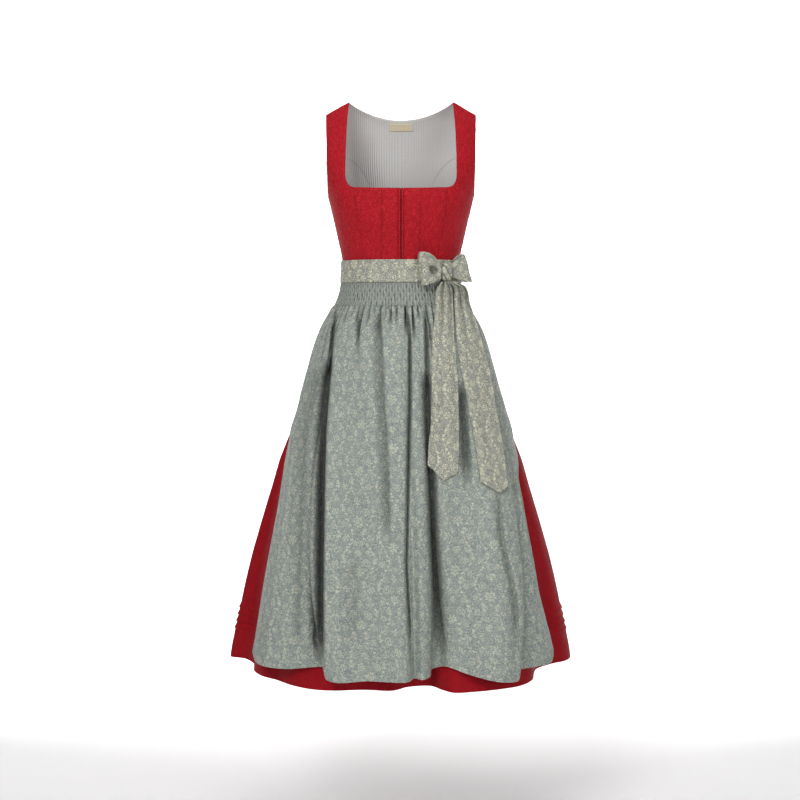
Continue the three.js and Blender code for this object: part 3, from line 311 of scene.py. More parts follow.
def crowded(length: float, pitch: float) -> Array:
    """Shares from 0 to 1 at an even pitch, with a few closer ones at both ends.

    Args:
        length: the run's length in millimetres.
        pitch: the even pitch in millimetres.

    Returns:
        The shares, rising.
    """
    near = np.array([0.0, 0.7, 1.5, 2.6, 4.2])
    middle = np.linspace(4.2, length - 4.2, max(2, round((length - 8.4) / pitch) + 1))[1:-1]
    return np.concatenate([near, middle, length - near[::-1]]) / length


def grid_uv(points: Array, straight: float = 0.5) -> Array:
    """Cloth coordinates of a grid in metres, measured along its rows and down its columns.

    Args:
        points: rows by columns by 3, in millimetres.
        straight: 0 keeps each column at its true distance in every row, 1 keeps columns upright.

    Returns:
        Rows by columns by 2.
    """
    across = np.linalg.norm(np.diff(points, axis=1), axis=2)
    down = np.linalg.norm(np.diff(points, axis=0), axis=2)
    u = np.concatenate([np.zeros((len(points), 1)), np.cumsum(across, axis=1)], axis=1)
    u -= u[:, -1:] / 2
    v = np.concatenate([np.zeros((1, points.shape[1])), np.cumsum(down, axis=0)], axis=0)
    u = lerp(u, u.mean(axis=0, keepdims=True), straight)
    v = lerp(v, v.mean(axis=1, keepdims=True), 0.7)
    return stacked(u, -v) * MM


# ---------------------------------------------------------------- cloth as meshes
def placed(name: str, data: bpy.types.ID) -> Object:
    """Puts data in the scene's collection as an object."""
    made = bpy.data.objects.new(name, data)
    bpy.context.scene.collection.objects.link(made)
    return made


def smooth(mesh: bpy.types.Mesh) -> None:
    """Shades every face of a mesh smoothly."""
    mesh.polygons.foreach_set("use_smooth", np.ones(len(mesh.polygons), bool))


@dataclass
class Surface:
    """A cloth's outer face before it gets its thickness.

    Args:
        points: one row a vertex, in millimetres.
        faces: four vertex numbers a face, counter-clockwise from outside.
        uv: cloth coordinates in metres, one row a vertex.
        depth: how much painted shade darkens each vertex where shade falls, from 0 to 1, or None
            for 0 everywhere.
    """

    points: Array
    faces: Array
    uv: Array
    depth: Array | None = None

    @classmethod
    def from_grid(cls, points: Array, closed: bool = False, upwards: bool = False,
                  uv: Array | None = None, depth: Array | None = None) -> "Surface":
        """Makes a surface of a grid of points.

        Args:
            points: rows by columns by 3; the outside is seen with the rows from left to right.
            closed: the last column joins the first one.
            upwards: the rows run from bottom to top.
            uv: cloth coordinates, or None to measure them along the grid.
            depth: how much painted shade darkens each point, from 0 to 1.

        Returns:
            The surface.
        """
        rows, columns = points.shape[:2]
        ids = np.arange(rows * columns).reshape(rows, columns)
        right = np.roll(ids, -1, axis=1)
        if not closed:
            ids, right = ids[:, :-1], right[:, :-1]
        corners = [ids[:-1], ids[1:], right[1:], right[:-1]]
        if upwards:
            corners = corners[::-1]
        uv = grid_uv(points) if uv is None else uv
        faces = np.stack([c.ravel() for c in corners], axis=1)
        depth = None if depth is None else depth.ravel()
        return cls(points.reshape(-1, 3), faces, uv.reshape(-1, 2), depth)

    def normals(self) -> Array:
        """Unit normals of the vertices, weighted by the faces' areas."""
        p = self.points[self.faces]
        flat = np.cross(p[:, 2] - p[:, 0], p[:, 3] - p[:, 1])
        total = np.zeros_like(self.points)
        for corner in range(4):
            np.add.at(total, self.faces[:, corner], flat)
        return unit(total)

    def border(self) -> Array:
        """The border's edges as pairs of vertex numbers, with the surface on their left."""
        a = self.faces.ravel()
        b = np.roll(self.faces, -1, axis=1).ravel()
        count = len(self.points)
        open_ones = ~np.isin(a * count + b, b * count + a)
        return np.stack([a[open_ones], b[open_ones]], axis=1)

    def border_distance(self) -> Array:
        """How far every vertex lies from the border, in millimetres."""
        edges = self.border()
        best = np.full(len(self.points), np.inf)
        starts, ends = self.points[edges[:, 0]], self.points[edges[:, 1]]
        runs = ends - starts
        squares = np.maximum((runs**2).sum(axis=1), 1e-9)
        for start, run, square in zip(starts, runs, squares):
            offset = self.points - start
            share = np.clip(offset @ run / square, 0, 1)
            best = np.minimum(best, np.linalg.norm(offset - share[:, None] * run, axis=1))
        return best

    def displaced(self, lift: Array) -> "Surface":
        """The surface with each vertex moved outwards along its normal."""
        points = self.points + self.normals() * lift[:, None]
        return Surface(points, self.faces, self.uv, self.depth)


def joined(surfaces: Sequence[Surface]) -> Surface:
    """One surface of several whose shared edges have the same points."""
    points = np.vstack([s.points for s in surfaces])
    uv = np.vstack([s.uv for s in surfaces])
    offsets = np.cumsum([0] + [len(s.points) for s in surfaces[:-1]])
    faces = np.vstack([s.faces + o for s, o in zip(surfaces, offsets)])
    _, first, numbers = np.unique(
        np.round(points, 3), axis=0, return_index=True, return_inverse=True
    )
    return Surface(points[first], numbers.ravel()[faces], uv[first])


def shell(name: str, surface: Surface, thickness: float, sunk: float = 0, inset: float = 0,
          bulge: float = 0.3) -> Object:
    """Makes a closed thin cloth with rounded edges.

    Args:
        name: the piece's name.
        surface: the outer face.
        thickness: of the cloth, in millimetres.
        sunk: how far under the surface the cloth's outer face lies.
        inset: how far the cloth stops short of the surface's border.
        bulge: how far the edge stands out halfway, as a share of the thickness.

    Returns:
        The object, in metres.
    """
    points, normals, edges = surface.points, surface.normals(), surface.border()
    step = np.zeros_like(points)
    if len(edges):
        direction = unit(points[edges[:, 1]] - points[edges[:, 0]])
        along = np.zeros_like(points)
        np.add.at(along, edges[:, 0], direction)
        np.add.at(along, edges[:, 1], direction)
        step = unit(np.cross(normals, along)) * (np.linalg.norm(along, axis=1) > 0)[:, None]
    outer = points - normals * sunk + step * inset
    inner = outer - normals * thickness
    middle = (outer + inner) / 2 - step * bulge * thickness
    count = len(points)
    a, b = edges[:, 0], edges[:, 1]
    faces = np.vstack(
        [
            surface.faces,
            surface.faces[:, ::-1] + 2 * count,
            np.stack([b, a, a + count, b + count], axis=1),
            np.stack([b + count, a + count, a + 2 * count, b + 2 * count], axis=1),
        ]
    )
    used, numbers = np.unique(faces, return_inverse=True)
    every = np.vstack([outer, middle, inner])[used]
    uv = np.vstack([surface.uv] * 3)[used]
    depth = None if surface.depth is None else np.tile(surface.depth, 3)[used]
    return piece(name, every, numbers.reshape(faces.shape).tolist(), uv, depth)


def capped(name: str, grid: Array, depth: Array | None = None) -> Object:
    """Makes a closed solid of a grid whose rows are rings, capped at both ends.

    Args:
        name: the piece's name.
        grid: rings by columns by 3, in millimetres.
        depth: how much painted shade darkens each point of the grid.

    Returns:
        The object, in metres.
    """
    side = Surface.from_grid(grid, closed=True)
    count, n = len(side.points), grid.shape[1]
    points = np.vstack([side.points, grid[0].mean(axis=0), grid[-1].mean(axis=0)])
    uv = np.vstack([side.uv, side.uv[:n].mean(axis=0), side.uv[-n:].mean(axis=0)])
    last = count - n
    ends = [[i, (i + 1) % n, count] for i in range(n)]
    ends += [[last + (i + 1) % n, last + i, count + 1] for i in range(n)]
    depth = None if depth is None else np.append(depth.ravel(), [0, 0])
    return piece(name, points, side.faces.tolist() + ends, uv, depth)


def volume(points: Array, faces: list[list[int]]) -> float:
    """The signed volume of a closed mesh, positive where its faces look outwards."""
    total = 0.0
    for size in (3, 4):
        ids = np.array([f for f in faces if len(f) == size], int).reshape(-1, size)
        for k in range(1, size - 1):
            a, b, c = points[ids[:, 0]], points[ids[:, k]], points[ids[:, k + 1]]
            total += float((a * np.cross(b, c)).sum())
    return total


def piece(name: str, points: Array, faces: list[list[int]], uv: Array,
          depth: Array | None = None) -> Object:
    """Makes a smooth closed mesh object in the row frame, with its faces outwards.

    Args:
        name: the piece's name.
        points: vertices in millimetres.
        faces: vertex numbers, one list a face.
        uv: cloth coordinates in metres, one row a vertex.
        depth: how much painted shade darkens each vertex, from 0 to 1; stored as the depth
            attribute.

    Returns:
        The object, in the scene's collection.
    """
    if volume(points, faces) < 0:
        faces = [face[::-1] for face in faces]
    name += WORN
    mesh = bpy.data.meshes.new(name)
    mesh.from_pydata((points * MM).tolist(), [], faces)
    layer = mesh.uv_layers.new(name="cloth")
    loops = np.zeros(len(mesh.loops), np.int32)
    mesh.loops.foreach_get("vertex_index", loops)
    layer.uv.foreach_set("vector", uv[loops].astype(np.float32).ravel())
    if depth is not None:
        layer = mesh.attributes.new("depth", "FLOAT", "POINT")
        layer.data.foreach_set("value", np.clip(depth, 0, 1).astype(np.float32))
    smooth(mesh)
    mesh.update()
    return placed(name, mesh)


# ---------------------------------------------------------------- the forms under the cloth
class BodiceForm:
    """The bodice's smooth outer surface, as places of an angle from the front and a way up."""

    def __init__(self) -> None:
        """Samples the way up, so that heights can be looked up."""
        self.shoulder = BODICE_SECTIONS.knot(10)
        self.ways = np.linspace(0, self.shoulder, 4000)
        self.heights = BODICE_SECTIONS.at(self.ways)["height"]

    def along(self, height: Reals) -> Array:
        """The way up at which the surface reaches a height."""
        return np.interp(height, self.heights, self.ways)

    def point(self, places: Array) -> Array:
        """Points in millimetres of places, whose last axis is angle and way up."""
        s = BODICE_SECTIONS.at(places[..., 1])
        x, y = oval(s, places[..., 0])
        slant = np.maximum(0, np.abs(x) - NECK_HALF_WIDTH) / (SHOULDER_HALF_WIDTH - NECK_HALF_WIDTH)
        return stacked(x, y, s["height"] - slant * SHOULDER_DROP * s["slope"])

    def place(self, x: Reals, height: Reals, on_back: bool = False) -> Array:
        """The place at a distance from the middle and a height.

        Args:
            x: distances from the middle, in millimetres.
            height: heights, in millimetres.
            on_back: the place lies on the back.

        Returns:
            Angles and ways up, on a last axis of 2.
        """
        along = self.along(np.asarray(height, float) + 0 * np.asarray(x, float))
        s = BODICE_SECTIONS.at(along)
        angle = np.arcsin(np.clip(np.abs(x) / s["half"], 0, 1) ** (1 / s["square"]))
        return stacked(np.sign(x + 1e-12) * (math.pi - angle if on_back else angle), along)

    def seam(self, table: Table, shares: Array, on_back: bool = False) -> Array:
        """Places along a seam's table at shares of its length."""
        row = table.at(shares * table.length)
        return self.place(row["x"], row["height"], on_back)

    def armhole(self, start: float, end: float, shares: Array, side: str) -> Array:
        """Places along the armhole's edge between two heights, on its front or back side."""
        power = 1.5 if start == UNDERARM_LEVEL else 1.0
        height = lerp(start, end, shares**power)
        turn = np.radians(ARMHOLE.at(height - UNDERARM_LEVEL)[side])
        return stacked(math.pi / 2 + (-turn if side == "front" else turn), self.along(height))


def neckline(x: Reals) -> Array:
    """The front neckline's height at a distance from the middle."""
    corner = 96.0
    return NECKLINE_LEVEL - NECKLINE_DIP * (1 - (np.asarray(x) / corner) ** 2)


def straight(a: Array, b: Array, shares: Array) -> Array:
    """Places on the straight way from place a to place b."""
    return a + (b - a) * np.asarray(shares)[:, None]


def patch(left: Array, right: Array, bottom: Array, top: Array, s: Array, t: Array) -> Array:
    """A Coons patch of places between four edges; left and right run upwards.

    Args:
        left, right: the side edges' places.
        bottom, top: the level edges' places.
        s: the columns' shares of the way across.
        t: the rows' shares of the way up.

    Returns:
        Rows by columns by 2.
    """
    s, t = s[None, :, None], t[:, None, None]
    ruled = (1 - s) * left[:, None] + s * right[:, None] + (1 - t) * bottom[None] + t * top[None]
    low = (1 - s) * bottom[0] + s * bottom[-1]
    high = (1 - s) * top[0] + s * top[-1]
    return ruled - (1 - t) * low - t * high


class SkirtForm:
    """The skirt's outer surface with its folds, as places round the fold table and heights.

    hollow_depth is how far it hangs back under the apron; flare_widths say how far it stands
    out at its sides, flare_levels down from the shoulder line. All are in millimetres.
    """

    hollow_depth = 32.0
    flare_levels = (600, 650, 685, 745, 800, 950, 1050)
    flare_widths = (0, 2.5, 5.5, 7.5, 4.5, 3.3, 0)

    def __init__(self) -> None:
        """Turns the fold table into angles that only grow, and pads it on both sides."""
        hem = SKIRT_SECTIONS.at(WAIST_LEVEL - HEM_LEVEL)
        self.hem = {name: float(value) for name, value in hem.items()}
        rows = [(*self.turn_and_reach(x, y), drop) for x, y, drop in SKIRT_FOLDS]
        start, n = rows[0][0], len(rows)
        rows = [(turn + FULL_TURN * (turn < start), *rest) for turn, *rest in rows]
        self.pad = 10
        padded = []
        for i in range(-self.pad, n + self.pad):
            turn, *rest = rows[i % n]
            padded.append((turn + (i // n) * FULL_TURN, *rest))
        self.folds = Table("turn reach drop", padded)

    def turn_and_reach(self, x: float, y: float) -> tuple[float, float]:
        """A hem point as an angle from the front and a share of the smooth section's reach."""
        depth = self.hem["front"] if y < 0 else self.hem["back"]
        side, ahead = x / self.hem["half"], -y / depth
        return math.atan2(side, ahead), math.hypot(side, ahead)

    @staticmethod
    def fall(height: Reals) -> Array:
        """How far down a height lies, from 0 at the waist to 1 at the hem."""
        return (WAIST_LEVEL - np.asarray(height, float)) / (WAIST_LEVEL - HEM_LEVEL)

    def growth(self, height: Reals) -> Array:
        """How far the folds have opened at a height."""
        start, early = 0.02, 0.75
        return np.clip((self.fall(height) - start) / (1 - start), 0, 1) ** early

    @staticmethod
    def section_point(height: Array, turn: Array, reach: Reals,
                      lift: Reals = 0.0) -> Array:
        """Points at an angle and a reach on a smooth section, lifted along its radius."""
        x, y = oval(SKIRT_SECTIONS.at(WAIST_LEVEL - height), turn)
        grown = reach + lift / np.hypot(x, y)
        return stacked(x * grown, y * grown, height)

    def point(self, at: Array, height: Array, lift: Reals = 0) -> Array:
        """Points of the surface.

        Args:
            at: places round the skirt, counted in rows of the fold table.
            height: heights in millimetres, of the same shape.
            lift: how far the points stand out.

        Returns:
            Points in millimetres.
        """
        fold = self.folds.at(at + self.pad)
        reach = 1 + (fold["reach"] - 1) * self.growth(height)
        p = self.section_point(height, fold["turn"], reach, lift)
        p[..., 2] -= fold["drop"] * self.fall(height) ** 2
        return p

    @classmethod
    def hollow(cls, height: Reals, turn: Array) -> Array:
        """How far the skirt hangs back under the apron's folds, less its flare at the sides."""
        below = -np.asarray(height, float)
        down = 0.45 * smoothstep(below, 423, 433) + 0.55 * smoothstep(below, 430, 520)
        down = cls.hollow_depth * down * (1 - smoothstep(below, 1010, 1120))
        around = np.abs((np.asarray(turn) + math.pi) % FULL_TURN - math.pi)
        flare = np.interp(below, cls.flare_levels, cls.flare_widths) * between(
            around, 1.15, 1.4, 1.75, 2.15
        )
        return down * (1 - smoothstep(np.abs(turn), 0.85, 1.2)) - flare

    def outermost(self, height: float, turns: Array) -> Array:
        """The largest reach of the skirt's front half at a height and some angles."""
        at = np.arange(-6, 29.01, 0.25)
        fold = self.folds.at(at + self.pad)
        turn, reach = fold["turn"], 1 + (fold["reach"] - 1) * self.growth(height)
        a, b = turn[:-1, None], turn[1:, None]
        inside = (a - turns) * (b - turns) <= 0
        share = (turns - a) / np.where(a == b, 1, b - a)
        crossed = lerp(reach[:-1, None], reach[1:, None], share)
        return np.where(inside, crossed, 0).max(axis=0)


class ApronForm:
    """The apron's outer surface over the skirt's folds, by fold rows and heights."""

    span = len(APRON_FOLDS) - 1
    header_lift = 0.9 + APRON_CLOTH  # off the skirt behind the smocked head
    clearance = 6.0  # off the skirt's outermost fold
    least_gap = 0.7  # between the apron's inner face and the skirt
    free_level = -480.0  # below it the apron hangs clear

    def __init__(self, skirt: SkirtForm) -> None:
        """Turns the fold table into angles and reaches."""
        self.skirt = skirt
        rows = [
            (math.radians(waist), *skirt.turn_and_reach(x, y), rise)
            for waist, x, y, rise in APRON_FOLDS
        ]
        self.folds = Table("waist turn reach rise", rows)

    def point(self, at: Array, height: float, lift: Reals = 0,
              pressed: Reals = 0) -> Array:
        """A row of points of the surface.

        Args:
            at: places across the apron, counted in rows of its fold table.
            height: the row's height in millimetres.
            lift: how far the points stand out.
            pressed: how far they are pushed straight back.

        Returns:
            One point a place, in millimetres.
        """
        fold = self.folds.at(at)
        fall = self.skirt.fall(height)
        share = np.clip(fall, 0, 1)
        even, edge = math.radians(72), math.radians(97)
        swung = APRON_EDGE_SWING.at(share)["share"]
        swing = lerp(share, swung, smoothstep(np.abs(fold["waist"]), even, edge))
        turn = lerp(fold["waist"], fold["turn"], swing)
        drawn_in = np.interp(-height, (740, 780, 820, 1020, 1120), (0, 0.07, 0.05, 0.05, 0))
        turn = turn - drawn_in * smoothstep(fold["waist"], even, edge)
        wide = 1 + (fold["reach"] - 1) * self.skirt.growth(height)
        s = SKIRT_SECTIONS.at(WAIST_LEVEL - height)
        free = smoothstep(-height, -HEADER_BOTTOM, -self.free_level)
        off = lerp(self.header_lift, self.clearance, free) / ((s["half"] + s["front"]) / 2)
        under = self.skirt.outermost(height, turn)
        level = np.full(len(turn), height)
        base = self.skirt.section_point(level, turn, 1.0)
        radius = np.hypot(base[:, 0], base[:, 1])
        flare = np.maximum(-self.skirt.hollow(height, turn), 0) * smoothstep(height, -715, -670)
        reach = np.maximum(wide, under + off) + (lift + flare) / radius
        side, ahead = reach * np.sin(turn), reach * np.cos(turn) - pressed / s["front"]
        turn, reach = np.arctan2(side, ahead), np.hypot(side, ahead)
        under = self.skirt.outermost(height, turn)
        least = under + (APRON_CLOTH + self.least_gap - self.skirt.hollow(height, turn)) / radius
        p = self.skirt.section_point(level, turn, np.maximum(reach, least))
        p[:, 2] += fold["rise"] * fall**3
        return p

    def waist_degrees(self, at: Array) -> Array:
        """The places' angles round the waist, in degrees."""
        return np.degrees(self.folds.at(at)["waist"])


def sash_point(turn: Array, height: Array, lift: Reals) -> Array:
    """Points of the sash: a turn from the front, a height and a lift off its inner face."""
    return stacked(*oval(SASH_SECTIONS.at(SASH_TOP - height), turn, lift), height)


# ---------------------------------------------------------------- graphs of nodes
@dataclass(frozen=True)
class Value:
    """An output of a node, which can be reckoned with.

    Args:
        graph: where the nodes that reckon go.
        socket: the output.
    """

    graph: "Graph"
    socket: Socket

    def __add__(self, other: object) -> "Value":
        """The sum."""
        return self.graph.math("ADD", self, other)

    def __sub__(self, other: object) -> "Value":
        """The difference."""
        return self.graph.math("SUBTRACT", self, other)

    def __rsub__(self, other: object) -> "Value":
        """The difference from another value."""
        return self.graph.math("SUBTRACT", other, self)

    def __mul__(self, other: object) -> "Value":
        """The product."""
        return self.graph.math("MULTIPLY", self, other)

    def __truediv__(self, other: object) -> "Value":
        """The quotient."""
        return self.graph.math("DIVIDE", self, other)

    def __abs__(self) -> "Value":
        """The value without its sign."""
        return self.graph.math("ABSOLUTE", self)

    __radd__, __rmul__ = __add__, __mul__


class Graph:
    """Adds nodes to a node tree and links them."""

    def __init__(self, tree: Tree) -> None:
        """Starts on a tree."""
        self.tree = tree

    def fill(self, node: Node, inputs: dict[str | int, object]) -> None:
        """Links values to a node's inputs, or sets the inputs, by name or number."""
        for key, value in inputs.items():
            if isinstance(value, Value):
                self.tree.links.new(value.socket, node.inputs[key])
            else:
                node.inputs[key].default_value = value

    def node(self, kind: str, inputs: dict | Sequence = (), **settings: object) -> Node:
        """Adds a node.

        Args:
            kind: its type.
            inputs: values by the inputs' names, or in their order.
            settings: its properties, which are set first.

        Returns:
            The node.
        """
        made = self.tree.nodes.new(kind)
        for name, value in settings.items():
            setattr(made, name, value)
        self.fill(made, inputs if isinstance(inputs, dict) else dict(enumerate(inputs)))
        return made

    def value(self, kind: str, inputs: dict | Sequence = (), output: str | int = 0,
              **settings: object) -> Value:
        """Adds a node as node() does, and gives one of its outputs."""
        return Value(self, self.node(kind, inputs, **settings).outputs[output])

    def math(self, operation: str, *values: object) -> Value:
        """A Math node's result."""
        return self.value("ShaderNodeMath", values, operation=operation)

    def scaled(self, vector: Value, scale: object) -> Value:
        """A vector or colour times a number."""
        return self.value("ShaderNodeVectorMath", {0: vector, "Scale": scale}, operation="SCALE")

    def parts(self, vector: Value) -> list[Value]:
        """A vector's x, y and z."""
        return [Value(self, s) for s in self.node("ShaderNodeSeparateXYZ", (vector,)).outputs]

    def combined(self, *values: object) -> Value:
        """A vector of x, y and perhaps z."""
        return self.value("ShaderNodeCombineXYZ", values)

    def soft(self, value: Value, low: object, high: object) -> Value:
        """A soft rise from 0 at low to 1 at high."""
        inputs = {"Value": value, "From Min": low, "From Max": high}
        return self.value("ShaderNodeMapRange", inputs, interpolation_type="SMOOTHSTEP")

    def noise(self, vector: Value, scale: float, detail: float, output: str = "Fac") -> Value:
        """Noise of about 0 to 1 at a scale in cells a metre."""
        inputs = {"Vector": vector, "Scale": scale, "Detail": detail}
        return self.value("ShaderNodeTexNoise", inputs, output)

    def mixed(self, share: object, a: object, b: object) -> Value:
        """A colour between a and b."""
        made = self.node("ShaderNodeMix", (share,), data_type="RGBA")
        colours = [i for i, s in enumerate(made.inputs) if s.type == "RGBA"]
        self.fill(made, dict(zip(colours, (a, b))))
        return Value(self, next(s for s in made.outputs if s.type == "RGBA"))


def group(name: str, family: str, inputs: str, outputs: str) -> tuple[
        Graph, dict[str, Value], Node]:
    """Starts a node group.

    Args:
        name: the group's name.
        family: Shader or Geometry.
        inputs, outputs: its sockets parted by spaces, each as name:type.

    Returns:
        A graph on it, its inputs by name and its output node.
    """
    tree = bpy.data.node_groups.new(name, family + "NodeTree")
    for way, sockets in (("INPUT", inputs), ("OUTPUT", outputs)):
        for label, kind in (socket.split(":") for socket in sockets.split()):
            tree.interface.new_socket(label, in_out=way, socket_type="NodeSocket" + kind)
    graph = Graph(tree)
    given = {s.name: Value(graph, s) for s in tree.nodes.new("NodeGroupInput").outputs if s.name}
    return graph, given, tree.nodes.new("NodeGroupOutput")


# ---------------------------------------------------------------- stitches
def stitch_tree() -> Tree:
    """Builds the node group that lays capsules along lines, one a stitch."""
    g, given, out = group(
        "stitches", "Geometry",
        "Lines:Geometry Pitch:Float Length:Float Radius:Float Seed:Int Thread:Material",
        "Stitches:Geometry",
    )
    curve = g.value("GeometryNodeMeshToCurve", {"Mesh": given["Lines"]})
    run = {"Curve": curve, "Length": given["Pitch"]}
    spaced = g.value("GeometryNodeResampleCurve", run, mode="LENGTH")
    ball = g.value("GeometryNodeMeshUVSphere", {"Segments": 6, "Rings": 4, "Radius": 1})
    size = g.combined(given["Radius"], given["Radius"], given["Length"])
    capsule = g.value("GeometryNodeTransform", {"Geometry": ball, "Scale": size})
    tangent = g.value("GeometryNodeInputTangent")
    turned = g.value("FunctionNodeAlignRotationToVector", {"Vector": tangent}, axis="Z")
    uneven = g.node("FunctionNodeRandomValue", data_type="FLOAT")
    low, high = [s for s in uneven.inputs if s.name in ("Min", "Max") and s.type == "VALUE"]
    low.default_value, high.default_value = 0.85, 1.15
    g.fill(uneven, {"Seed": given["Seed"]})
    scale = Value(g, next(s for s in uneven.outputs if s.type == "VALUE"))
    laid = g.value(
        "GeometryNodeInstanceOnPoints",
        {"Points": spaced, "Instance": capsule, "Rotation": turned, "Scale": scale},
    )
    real = g.value("GeometryNodeRealizeInstances", {"Geometry": laid})
    sewn = g.value("GeometryNodeSetMaterial", {"Geometry": real, "Material": given["Thread"]})
    g.fill(out, {"Stitches": sewn})
    return g.tree


@dataclass
class Stitching:
    """Rows of stitches in one thread, laid on one piece's seams.

    Args:
        name: the piece's name.
        slot: the name of the cloth it is sewn in; not used.
        pitch: from one stitch to the next, in millimetres.
        length: half a stitch's length, in millimetres.
        radius: half the thread's thickness, in millimetres.
        seed: fixes how uneven the stitches are.
    """

    name: str
    slot: str
    pitch: float = 3.2
    length: float = 1.1
    radius: float = 0.32
    seed: int = 1
    lines: list[Array] = field(default_factory=list)

    def add(self, line: Array) -> None:
        """Adds a line of points in millimetres, already raised onto the cloth."""
        self.lines.append(line)

    def build(self, thread: Material) -> Object:
        """Lays the stitches along the lines.

        Args:
            thread: the thread's material.

        Returns:
            One plain mesh of all the stitches.
        """
        points = np.vstack(self.lines) * MM
        ends = np.cumsum([len(line) for line in self.lines])
        edges = [(i, i + 1) for i in range(len(points) - 1) if i + 1 not in ends]
        mesh = bpy.data.meshes.new(self.name)
        mesh.from_pydata(points.tolist(), edges, [])
        made = placed(self.name, mesh)
        modifier = made.modifiers.new("stitches", "NODES")
        modifier.node_group = stitch_tree()
        sizes = {"Pitch": self.pitch, "Length": self.length, "Radius": self.radius}
        values = {name: size * MM for name, size in sizes.items()}
        values |= {"Seed": self.seed, "Thread": thread}
        for item in modifier.node_group.interface.items_tree:
            if item.name in values and item.in_out == "INPUT":
                modifier[item.identifier] = values[item.name]
        graph = bpy.context.evaluated_depsgraph_get()
        made.data = bpy.data.meshes.new_from_object(made.evaluated_get(graph))
        made.modifiers.remove(modifier)
        smooth(made.data)
        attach(made, "root")
        return made


# ---------------------------------------------------------------- what was cut
@dataclass(frozen=True)
class Cut:
    """What a piece of cloth measured before it was sewn.

    Args:
        width, length: of the rectangle it was cut from, in metres.
        area: of the cut itself, in square metres; 0 where it is the whole rectangle; not used.
        held: how the finished piece holds the cloth; not used.
        rests_on: the node that it lies on or hangs from; not used.
    """

    width: float
    length: float
    area: float
    held: str
    rests_on: str


CUTS: dict[str, Cut] = {
    "back_centre_with_straps": Cut(0.36, 0.40, 0.068, "stretched", "front_side_with_strap_left"),
    "lining_back_centre": Cut(0.36, 0.40, 0.068, "stretched", "back_centre_with_straps"),
    "neck_label": Cut(0.05, 0.015, 0, "stretched", "lining_back_centre"),
    "skirt_front": Cut(0.95, 0.84, 0, "gathered", "sash_band"),
    "skirt_back": Cut(0.95, 0.84, 0, "gathered", "sash_band"),
    "apron_panel": Cut(0.86, 0.77, 0, "gathered", "apron_smocked_head"),
    "apron_smocked_head": Cut(0.50, 0.06, 0, "gathered", "skirt_front"),
    "sash_band": Cut(0.72, 0.046, 0, "stretched", "apron_smocked_head"),
    "bow_knot": Cut(0.046, 0.045, 0, "folded", "sash_band"),
    "bow_loop_right": Cut(0.05, 0.115, 0, "folded", "bow_knot"),
    "bow_loop_left": Cut(0.05, 0.095, 0, "folded", "bow_knot"),
    "sash_end_right": Cut(0.06, 0.39, 0, "hung", "bow_knot"),
    "sash_end_left": Cut(0.06, 0.43, 0, "hung", "bow_knot"),
}
for _side in ("_left", "_right"):
    _strapped = "front_side_with_strap" + _side
    CUTS |= {
        "front_inner" + _side: Cut(0.045, 0.19, 0.0066, "stretched", "front_middle" + _side),
        "front_middle" + _side: Cut(0.07, 0.19, 0.0094, "stretched", _strapped),
        _strapped: Cut(0.16, 0.42, 0.031, "stretched", "back_centre_with_straps"),
        "back_side" + _side: Cut(0.15, 0.28, 0.032, "stretched", "back_centre_with_straps"),
        "lining_back_side" + _side: Cut(0.15, 0.28, 0.032, "stretched", "back_side" + _side),
        "front_piping" + _side: Cut(0.01, 0.17, 0, "folded", "front_inner" + _side),
    }


def node_of(made: Object) -> str:
    """The name of the node that a cloth stands for."""
    return made.name.removesuffix(WORN)


def dress(pieces: Iterable[Object], material: Material) -> None:
    """Gives cloths their material, and ties them to the frame.

    Args:
        pieces: the cloths, each named after the node it stands for.
        material: the cloth's finish.
    """
    for made in pieces:
        made.data.materials.append(material)
        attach(made, "root")
        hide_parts(node_of(made))


